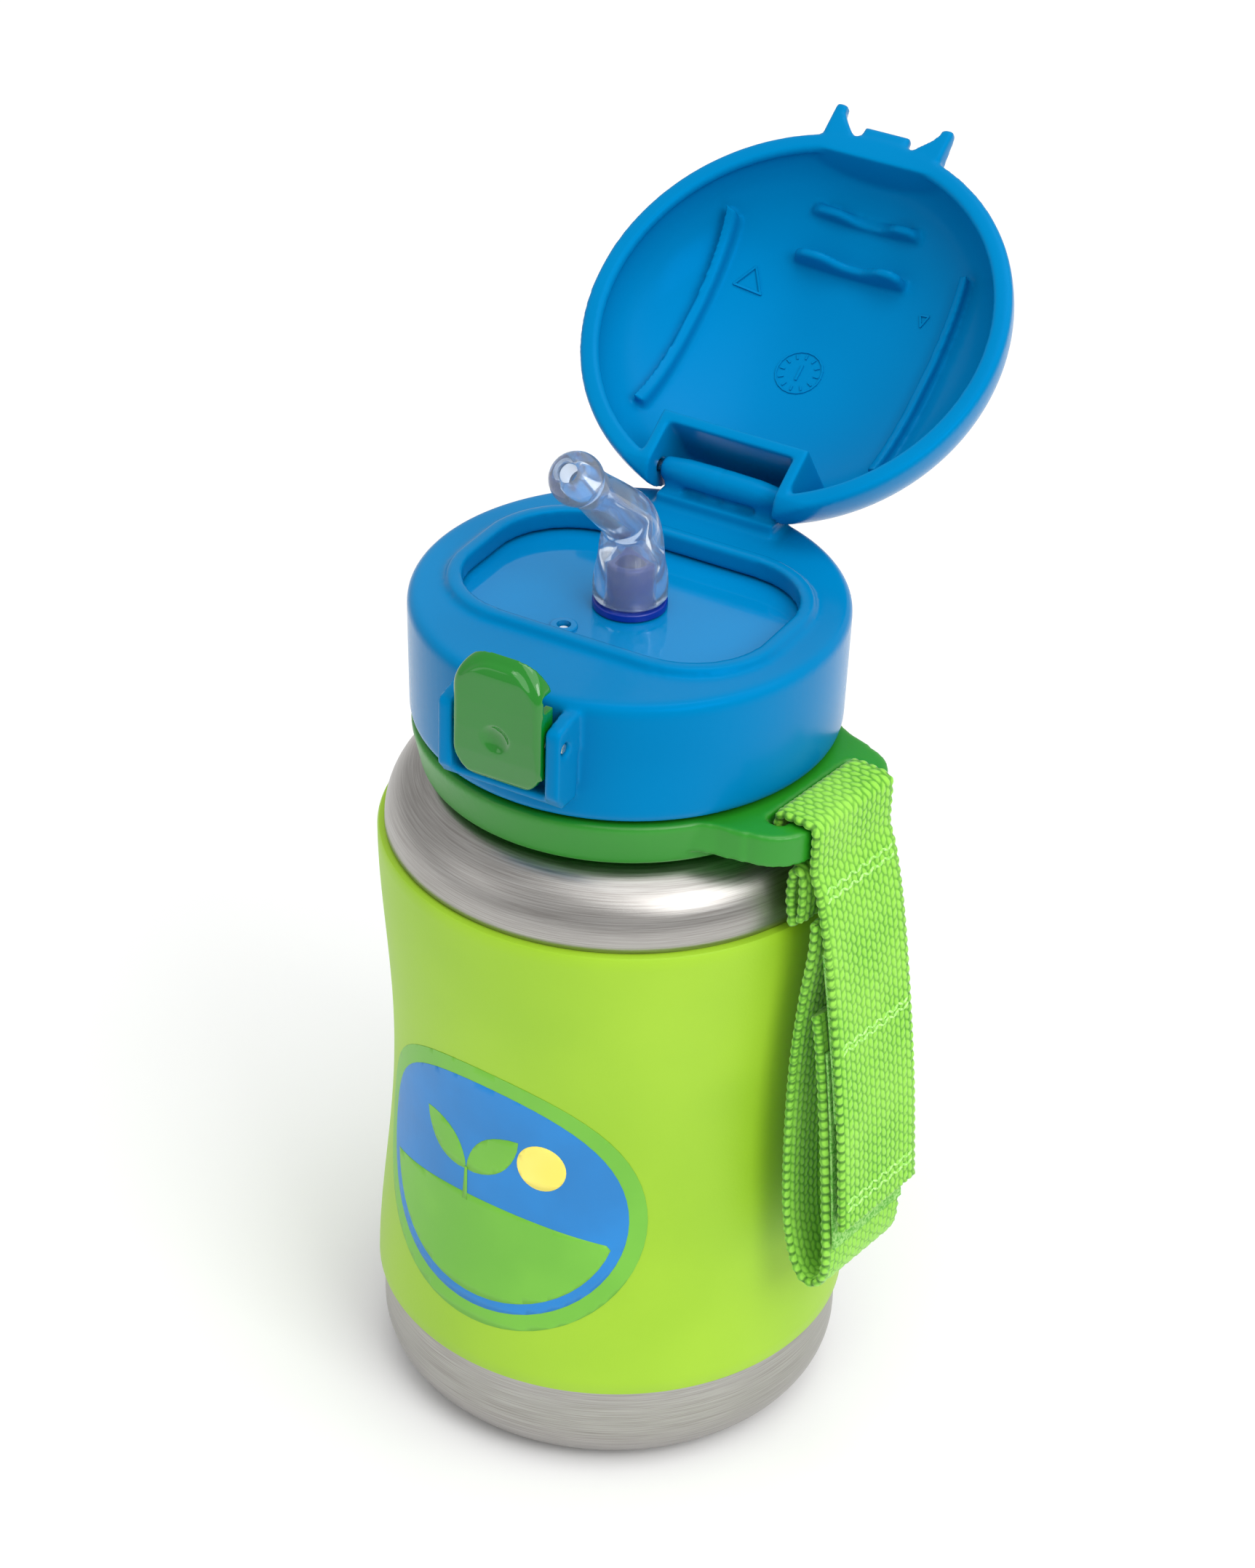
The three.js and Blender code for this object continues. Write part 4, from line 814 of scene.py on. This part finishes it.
joined(cap, laid_over(barrel, 48, hinge_y, hinge_z))
ear_in, ear_out, wall_y = 7.85, 10.25, -(cap_r - cap_wall * 0.5)
ear_front, ear_top, ear_low = latch_y - 2.2, cap_top - 1.5, cap_top - 15.4
ear = [(wall_y, cap_top - 1.2), (wall_y - 1.6, cap_top - 1.2), (ear_front + 0.5, ear_top - 0.6),
       (ear_front, ear_top - 1.4), (ear_front, ear_low + 2.2), (ear_front + 1.6, ear_low),
       (wall_y, ear_low)]
shelf = [(wall_y, ear_low), (wall_y, ear_low + 1.5), (ear_front + 1.3, ear_low + 1.5),
         (ear_front + 1.3, ear_low + 0.6), (ear_front + 1.6, ear_low)]
joined(cap, sideways(ear, ear_in, ear_out), sideways(ear, -ear_out, -ear_in),
       sideways(shelf, -ear_out + 0.4, ear_out - 0.4))
joined(cap, rod(bore_r - 0.3, (0, 0, cap_low - 1), (0, 0, plate_low - 0.05), 128), how="DIFFERENCE")
pin_r = 0.8
joined(cap, rod(pin_r + 0.35, (-13, hinge_y, hinge_z), (13, hinge_y, hinge_z)),
       rod(pin_r + 0.3, (-13, latch_y, latch_z), (13, latch_y, latch_z)), how="DIFFERENCE")
fitted(moulded(cap, 0.42, 5), blue_plastic, "cap", ["cap_shell"], None)

# ---------------------------------------------------------------- floor of the well
# A separate polished plate closes the well. It is clearer and shinier than the cap, and a small
# raised ring on it holds the air vent.
plate_plastic = plastic("polished blue plate", paint(0, 122, 180), paint(0, 130, 190), 0.06, 0.03, 0.0)
plate_plastic.shader.inputs["Specular Tint"].default_value = paint(0, 150, 255)
plate_plastic.shader.inputs["Coat Weight"].default_value = 0.2
plate_plastic.shader.inputs["Coat Roughness"].default_value = 0.03
spout_x, spout_y, stem_r = 0.0, 0.0, 4.3
vent_x, vent_y, vent_r = -5.1, -10.8, 1.1
plate = to_object(well_slab(1.6, plate_low, plate_high, 12), "well_floor")
vent_ring = [(vent_r + 1, plate_high - 0.3)] + arc((vent_r + 0.7, plate_high + 0.25), (0.3, 0.2), 0, 90, 4)
vent_ring += [(0, plate_high + 0.45), (0, plate_high - 0.3)]
joined(plate, turned(vent_ring, 48, (vent_x, vent_y)))
joined(plate, rod(stem_r + 0.5, (spout_x, spout_y, plate_low - 1), (spout_x, spout_y, plate_high + 1), 64),
       rod(vent_r, (vent_x, vent_y, plate_low - 1), (vent_x, vent_y, plate_high + 1), 40), how="DIFFERENCE")
fitted(plate, plate_plastic, "cap", ["well_plate"], 30)

# ---------------------------------------------------------------- thread ring, seals and vent
# Inside the cap a second moulding carries the screw thread. White silicone rings seal it against
# the neck and round the stem, and a soft mushroom valve lets air in.
insert_plastic = plastic("blue inner plastic", paint(0, 108, 190), paint(0, 118, 200), 0.34, 0.1, 0.00001)
white_silicone = plastic("white silicone", paint(226, 232, 236), paint(238, 242, 245), 0.5, 0.12, 0.00002)


def dressed(node, finish):
    """Gives a node that is carried over from the CAD its finish."""
    carried = next(o for o in bpy.data.objects if o.name == node)
    carried.data.materials.clear()
    carried.data.materials.append(finish.material)


dressed("thread_insert", insert_plastic)
for node in ("cap_seal", "vent_valve", "stem_seal"):
    dressed(node, white_silicone)
for node in ("hook_tape", "loop_tape"):
    dressed(node, tape)

# ---------------------------------------------------------------- stem and straw
# A dark blue stem stands up through the well floor and carries the silicone spout above and the
# clear straw below.
stem_plastic = plastic("deep blue plastic", paint(0, 34, 138), paint(0, 46, 156), 0.3, 0.08, 0.0)
flange, stem_low = plate_high + 0.3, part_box("spout_stem")[0].z / MM
bulb_r, tube_r = 5.7, 3.5
stem = [(2.4, stem_low), (2.4, stem_low + 7), (stem_r, stem_low + 7.6), (stem_r, flange), (bulb_r, flange)]
stem += arc((bulb_r - 0.3, flange + 0.8), (0.3, 0.3), 0, 90, 3) + [(3.4, flange + 1.3), (3.4, flange + 6.6)]
stem += arc((2.9, flange + 7.1), (0.5, 0.5), 0, 90, 4) + [(2.2, flange + 7.6), (2.2, stem_low)]
stem = to_object(turned(stem, 64, (spout_x, spout_y)), "stem")
fitted(stem, stem_plastic, "cap", ["spout_stem"], 40)

straw_plastic = plastic("milky straw plastic", paint(214, 226, 240), paint(226, 235, 246), 0.2, 0.1, 0.0)
straw_plastic.shader.inputs["Transmission Weight"].default_value = 0.5
straw_low, straw_high = [c.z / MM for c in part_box("straw_tube")]
straw_bore = 2.7
straw = [(straw_bore, straw_low), (tube_r, straw_low), (tube_r, straw_high), (straw_bore, straw_high)]
straw = turned(straw, 48, (spout_x, spout_y))
fitted(to_object(straw, "straw"), straw_plastic, "cap", ["straw_tube"], 40)

# ---------------------------------------------------------------- spout
# One soft clear silicone moulding: a bulb that grips the stem, a thick tube that bends over, and a ball
# tip with a flat end and a round mouth.
clear = Finish("clear silicone", Base_Color=paint(230, 240, 255), Roughness=0.16)
clear.shader.inputs["Transmission Weight"].default_value = 0.9
clear.shader.inputs["IOR"].default_value = 1.41
haze = clear.cloud(160.0, 2.0)
clear.feed(Base_Color=clear.mixed(haze.step(0.3, 0.75), paint(222, 236, 255), paint(240, 247, 255)),
           Roughness=0.03 + haze * 0.08)
clear.raised(clear.cloud(420.0, 2.0), 0.00003, 0.5)

bend_z, lean, spout_long, ball_r, spout_bore, bend_r = plate_high + 14.6, 49.0, 22.0, 4.1, 1.9, 5.6
base_z, ball_z = flange + 1.6, bend_z + spout_long
outer = [(3.7, base_z), (bulb_r - 0.25, base_z), (bulb_r, base_z + 0.4), (bulb_r, base_z + 2.4),
         (bulb_r - 0.15, base_z + 4.2), (bulb_r - 0.55, base_z + 6.0), (tube_r + 1.3, bend_z - 3.2),
         (tube_r + 0.95, bend_z - 1.2)]
outer += [(tube_r + 0.75 - 0.06 * i, bend_z + 1.1 * i) for i in range(9)]
outer += [(tube_r - 0.15, ball_z - 7.6), (tube_r - 0.25, ball_z - 5.2), (tube_r - 0.1, ball_z - 3.9)]
outer += arc((0, ball_z), (ball_r, ball_r), -42, 62, 12)
inner_wall = [(spout_bore - 0.35, ball_z + 3.55), (spout_bore, ball_z + 1.5)]
inner_wall += [(spout_bore, ball_z - 2 - 1.2 * i) for i in range(17)]
inner_wall += [(spout_bore + 0.5, bend_z - 3.6), (3.2, flange + 8.6), (3.7, flange + 8.0)]
spout = turned(outer + inner_wall, 56)
angle = math.radians(lean)
bend_low = bend_z - bend_r * math.tan(angle / 2)
for v in spout.verts:
    # the straight moulding is bent over between the bulb and the tube
    height = v.co.z / MM - bend_low
    bent = min(max(height / (bend_r * angle), 0), 1) * angle
    past = max(height - bend_r * angle, 0)
    x, y = v.co.x / MM, v.co.y / MM
    y_here = y * math.cos(bent) - bend_r * (1 - math.cos(bent)) - past * math.sin(bent)
    z_here = y * math.sin(bent) + bend_r * math.sin(bent) + past * math.cos(bent)
    v.co = Vector((x + spout_x, y_here + spout_y, bend_low + min(height, 0) + z_here)) * MM
spout_piece = to_object(spout, "spout")
fitted(spout_piece, clear, None, ["spout_base", "spout_tip"], 50)
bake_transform(spout_piece)


# ---------------------------------------------------------------- lid
# A domed blue lid on a barrel hinge. Inside it are two long ribs, two wavy fins that press on the
# folded spout, and a few raised moulding marks; its rim is thicker than the dome.
lid_r, lid_high, lid_wall, fullness = 34.4, 18.8, 2.0, 2.4
rim = cap_top + 0.6
notch_x, ear_wall, notch_in, roof_end, lid_open = 10.9, 1.8, hinge_y - 5.5, hinge_y - 1.6, 146.0


def dome(radius, height, steps):
    """The profile of a full, flat-topped dome, from the rim up to the middle."""
    points, power = [], 2 / fullness
    for i in range(steps):
        a = i / steps * math.pi / 2
        points.append((radius * math.cos(a) ** power, rim + (height - 0.6) * math.sin(a) ** power))
    return points + [(0.0, rim + height - 0.6)]


lip_in, in_r, in_high = lid_r - lid_wall - 1.1, lid_r - lid_wall, lid_high - lid_wall
lid = dome(lid_r, lid_high, 36)[1:] + dome(in_r, in_high, 30)[:1:-1]
lid += [(in_r - 0.1, rim + 2.2), (lip_in, rim + 1.4), (lip_in, rim + 0.5), (lip_in + 0.5, rim),
        (lid_r - 0.5, rim), (lid_r, rim + 0.4)]
lid = to_object(turned(lid, 144), "lid")


def cut_shape(shape, tool, how="DIFFERENCE"):
    """A shape with another cut out of it, or only what the two share."""
    piece = joined(to_object(shape, "shape"), tool, how=how)
    made = bmesh.new()
    made.from_mesh(piece.data)
    bpy.data.objects.remove(piece)
    return made


def inside_of(shape, radius, height):
    """What part of a shape lies inside the dome of this radius and height."""
    return cut_shape(shape, turned([(0, rim)] + dome(radius, height, 24), 96), "INTERSECT")


def room(smaller, low):
    """The room under the roof of the lid, smaller by this all round, and deep down to low."""
    wall = dome(in_r - smaller, in_high - smaller, 24)
    return turned([(0, low), (in_r - smaller, low)] + wall, 96)


wall_out, lid_top, beyond, ear_r = notch_x + ear_wall, cap_top + lid_high, 42, 4.85
notch_wall = block((-wall_out, notch_in - ear_wall, rim), (wall_out, 40, lid_top))
joined(lid, inside_of(notch_wall, lid_r - 0.6, lid_high - 0.6))
notch = block((-notch_x, notch_in, cap_top - 1), (notch_x, roof_end + 1, lid_top))
joined(lid, cut_shape(notch, room(0, rim - 3), "INTERSECT"), how="DIFFERENCE")
joined(lid, block((-notch_x, roof_end, cap_top - 1), (notch_x, beyond, lid_top + 2)), how="DIFFERENCE")
trim = cut_shape(block((-21, hinge_y, cap_top - 1), (21, beyond, hinge_z)),
                 rod(ear_r, (-22, hinge_y, hinge_z), (22, hinge_y, hinge_z), 64))
pin_hole = rod(pin_r + 0.3, (-wall_out - 0.2, hinge_y, hinge_z), (wall_out + 0.2, hinge_y, hinge_z))
joined(lid, trim, pin_hole, how="DIFFERENCE")
rib_half, rib_deep, sunk = 0.8, 2.0, 0.4
for x in (-21.6, 19.2):
    rib = block((x - rib_half, -19, cap_top + 4), (x + rib_half, 17, lid_top))
    joined(lid, cut_shape(inside_of(rib, in_r + sunk, in_high + sunk), room(rib_deep, rim - 5)))
for y, hump, dip in ((-17.2, 10.9, 12.7), (-24.8, 9.6, 11.6)):
    low, mid = cap_top + hump, cap_top + dip
    wave, _ = spaced([(-11.2, low + 4), (-10.6, low + 1.2), (-9.3, low + 0.2), (-7.4, low),
                      (-5.0, low + 0.4), (-2.6, mid - 0.3), (-0.5, mid), (1.6, mid - 0.3),
                      (3.8, low + 0.4), (5.4, low), (7.0, low + 0.25), (8.2, low + 1.4),
                      (8.6, low + 4)], 0.5)
    fin = outline_slab([tuple(p) for p in wave] + [(8.6, low + 12), (-11.2, low + 12)], -rib_half, rib_half)
    stand = Matrix.Translation((0, y * MM, 0)) @ Matrix.Rotation(math.pi / 2, 4, "X")
    bmesh.ops.transform(fin, matrix=stand, verts=fin.verts)
    bmesh.ops.recalc_face_normals(fin, faces=fin.faces)
    joined(lid, inside_of(fin, in_r + sunk, in_high + sunk))
front_wall = block((-14, -lid_r, rim), (14, -(lid_r - 4.3), lid_top))
joined(lid, inside_of(front_wall, lid_r - 0.6, lid_high - 0.6))
rooted = -(lid_r - 1.2)
joined(lid, block((-4, -(lid_r + 1.5), rim + 0.2), (4, rooted, rim + 2.0)))
horn_wide, horn_out = 1.9, lid_r + 4.5
horn = [(rooted, rim + 3.4), (-horn_out, rim + 2.0), (-horn_out, rim + 0.3),
        (-horn_out + 0.3, rim + 0.05), (rooted, rim + 0.05)]
for s, horn_x in ((-1, -10.3), (1, 8.4)):
    joined(lid, sideways(horn, horn_x, horn_x + horn_wide))
    web_edge = [(s * (5.4 + 3.2 * t * t), -(lid_r - 0.3) - 3.8 * t ** 2.4)
                for t in [i / 8 for i in range(9)]]
    beside_horn = [(s * 5.4, rooted)] + web_edge + [(s * 8.6, rooted)]
    joined(lid, outline_slab(beside_horn, rim + 0.05, rim + 1.5))
moulded(lid, 0.42, 5)
to_pin = Matrix.Translation((0, hinge_y * MM, hinge_z * MM))
swing = to_pin @ Matrix.Rotation(-math.radians(lid_open), 4, "X") @ to_pin.inverted()
lid.data.transform(swing)
fitted(lid, blue_plastic, "lid", ["lid_shell"], None)


def roof_height(x, y):
    """The inside of the closed dome above a point."""
    share = min(math.hypot(x, y) / in_r, 0.999)
    return rim + (in_high - 0.6) * (1 - share ** fullness) ** (1 / fullness)


def raised_mark(shape, points, wide=0.35, tall=0.3, closed=False):
    """A raised line on the inside of the dome through points of (x, y)."""
    on_roof = [Vector((x, y, roof_height(x, y))) for x, y in points]
    for a, b in zip(on_roof, on_roof[1:] + (on_roof[:1] if closed else [])):
        bar = bmesh.ops.create_cube(shape, size=1)["verts"]
        way = (b - a).normalized()
        up = (Vector((0, 0, 1)) - way * way.z).normalized()
        frame3 = Matrix((way, up.cross(way), up)).transposed().to_4x4()
        size = Vector(((b - a).length + wide * 0.6, wide, tall * 2)) * MM
        bmesh.ops.scale(shape, vec=size, verts=bar)
        bmesh.ops.transform(shape, matrix=Matrix.Translation((a + b) / 2 * MM) @ frame3, verts=bar)


marks = bmesh.new()
raised_mark(marks, arc((-16.4, -11.0), (2.6, 2.6), 270, 510, 2), closed=True)
dial_x, dial_y = -2.5, 1.0
raised_mark(marks, oval(3.8, 3.8, (dial_x, dial_y), 20), 0.25, 0.22, closed=True)
for tick in zip(oval(2.6, 2.6, (dial_x, dial_y), 12), oval(3.3, 3.3, (dial_x, dial_y), 12)):
    raised_mark(marks, list(tick), 0.25, 0.22)
raised_mark(marks, [(dial_x, dial_y - 1.3), (dial_x, dial_y + 1.3)], 0.4, 0.25)
raised_mark(marks, [(13.6, -11.6), (14.4, -13.4), (12.8, -13.4)], 0.3, 0.25, closed=True)
bmesh.ops.transform(marks, matrix=swing, verts=marks.verts)
fitted(to_object(marks, "lid_marks"), blue_plastic, "lid", (), 30)

# ---------------------------------------------------------------- hinge pin
# A plain steel pin joins the lid's two ears through the barrel on the cap.
bright_steel = Finish("bright steel pin", Base_Color=paint(200, 200, 198), Metallic=1.0, Roughness=0.25)
turning = bright_steel.cloud(1.0, 3.0, 0.6, at=bright_steel.place((3000, 300, 300)))
bright_steel.feed(Base_Color=bright_steel.mixed(turning, paint(178, 178, 176), paint(218, 218, 216)),
                  Roughness=0.2 + turning * 0.15)


def steel_pin(name, node, body, radius, edge=0.2):
    """A pin with rounded ends where the CAD node has it."""
    low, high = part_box(node)
    y, z = [c / MM for c in ((low + high) / 2).yz]
    half = (high.x - low.x) / 2 / MM
    pin = [(0, -half)] + arc((radius - edge, -half + edge), (edge, edge), -90, 0, 3)
    pin += arc((radius - edge, half - edge), (edge, edge), 0, 90, 3) + [(0, half)]
    fitted(to_object(laid_over(pin, 32, y, z), name), bright_steel, body, [node], 40)


steel_pin("hinge_pin", "lid_hinge_pin", "lid", pin_r)

# ---------------------------------------------------------------- latch button
# A glossy green push button hooks over the lid's catch. It rocks on its own pin between the ears of
# the cap, and a small dimple below the middle takes the thumb.
button_plastic = plastic("glossy green plastic", paint(4, 112, 12), paint(10, 124, 18), 0.08, 0.05, 0.0)
button_plastic.shader.inputs["Coat Weight"].default_value = 0.4
button_plastic.shader.inputs["Coat Roughness"].default_value = 0.04
button_x, button_up, button_down, button_t = 7.5, 7.0, 13.9, 1.2
front_y, hook_y, tab_top = latch_y - 2.9, -(lid_r + 0.7), rim + 2.0
head, foot = cap_top + button_up, cap_top - button_down
side = [(hook_y, tab_top + 0.3), (hook_y, tab_top + 1.0), (hook_y - 0.9, head - 0.1),
        (front_y + 1.8, head), (front_y + 0.95, head - 0.5), (front_y + 0.4, head - 1.4),
        (front_y + 0.12, head - 3.0), (front_y, cap_top - 0.5), (front_y, cap_top - 5),
        (front_y + 0.25, cap_top - 9), (front_y + 0.9, foot + 1.0), (front_y + 1.7, foot + 0.05),
        (front_y + 2.9, foot + 0.3), (front_y + 2.9, cap_top - 9), (front_y + button_t, cap_top - 8),
        (front_y + button_t, tab_top + 0.3)]
button = to_object(sideways(side, -button_x, button_x), "latch_push_button")


def pillow(rings):
    """A closed skin over rings of points in millimetres."""
    made = bmesh.new()
    rows = [[made.verts.new(Vector(q) * MM) for q in ring] for ring in rings]
    for a, b in zip(rows, rows[1:]):
        for i in range(len(a)):
            k = (i + 1) % len(a)
            made.faces.new((a[i], a[k], b[k], b[i]))
    made.faces.new(rows[0])
    made.faces.new(rows[-1])
    bmesh.ops.recalc_face_normals(made, faces=made.faces)
    return made


head_middle, head_half, button_corner = (head + foot) / 2, (head - foot) / 2, 5.4
rings, head_rounding = [], ((-0.6, 1.5), (0.0, 1.1), (0.1, 0.75), (0.3, 0.4), (0.65, 0.12),
                            (1.1, 0.0), (11.0, -0.02))
for deep, inset in head_rounding:
    ring = []
    for x, z in rounded_rectangle(button_x - inset, head_half - inset, button_corner - inset * 0.5, 14):
        z += (0.5 if z > 0 else -0.2) * (1 - (x / button_x) ** 2)
        fall = (7.0 if z > 0 else 2.5) * max(abs(z / head_half) - 0.45, 0) ** 2
        ring.append((x, front_y + deep + fall, head_middle + z - 0.3))
    rings.append(ring)
joined(button, pillow(rings), how="INTERSECT")
for s in (-1, 1):
    a, b = sorted((s * 3, s * (button_x - 0.2)))
    joined(button, rod(pin_r + 1.2, (a, latch_y, latch_z), (b, latch_y, latch_z)),
           block((a, front_y + 0.8, latch_z - 1.9), (b, latch_y, latch_z + 1.9)))
    a, b = sorted((s * 6.2, s * (button_x - 0.02)))
    joined(button, block((a, front_y + 1.0, cap_top - 11.0), (b, latch_y + 0.9, cap_top + 0.3)))
dimple, dimple_r = bmesh.new(), 4
bmesh.ops.create_uvsphere(dimple, u_segments=48, v_segments=24, radius=dimple_r * MM)
bmesh.ops.translate(dimple, vec=(0, (front_y - dimple_r + 0.9) * MM, (cap_top - 5.9) * MM),
                    verts=dimple.verts)
joined(button, dimple, rod(pin_r + 0.3, (-9, latch_y, latch_z), (9, latch_y, latch_z)), how="DIFFERENCE")
fitted(moulded(button, 0.2, 8), button_plastic, "latch", ["latch_button"], None)

# ---------------------------------------------------------------- latch pin and spring
# The button's pin shows at the side of each ear. A small wire spring round it pushes the button back.
steel_pin("latch_cross_pin", "latch_pin", "cap", pin_r)
dressed("latch_spring", bright_steel)
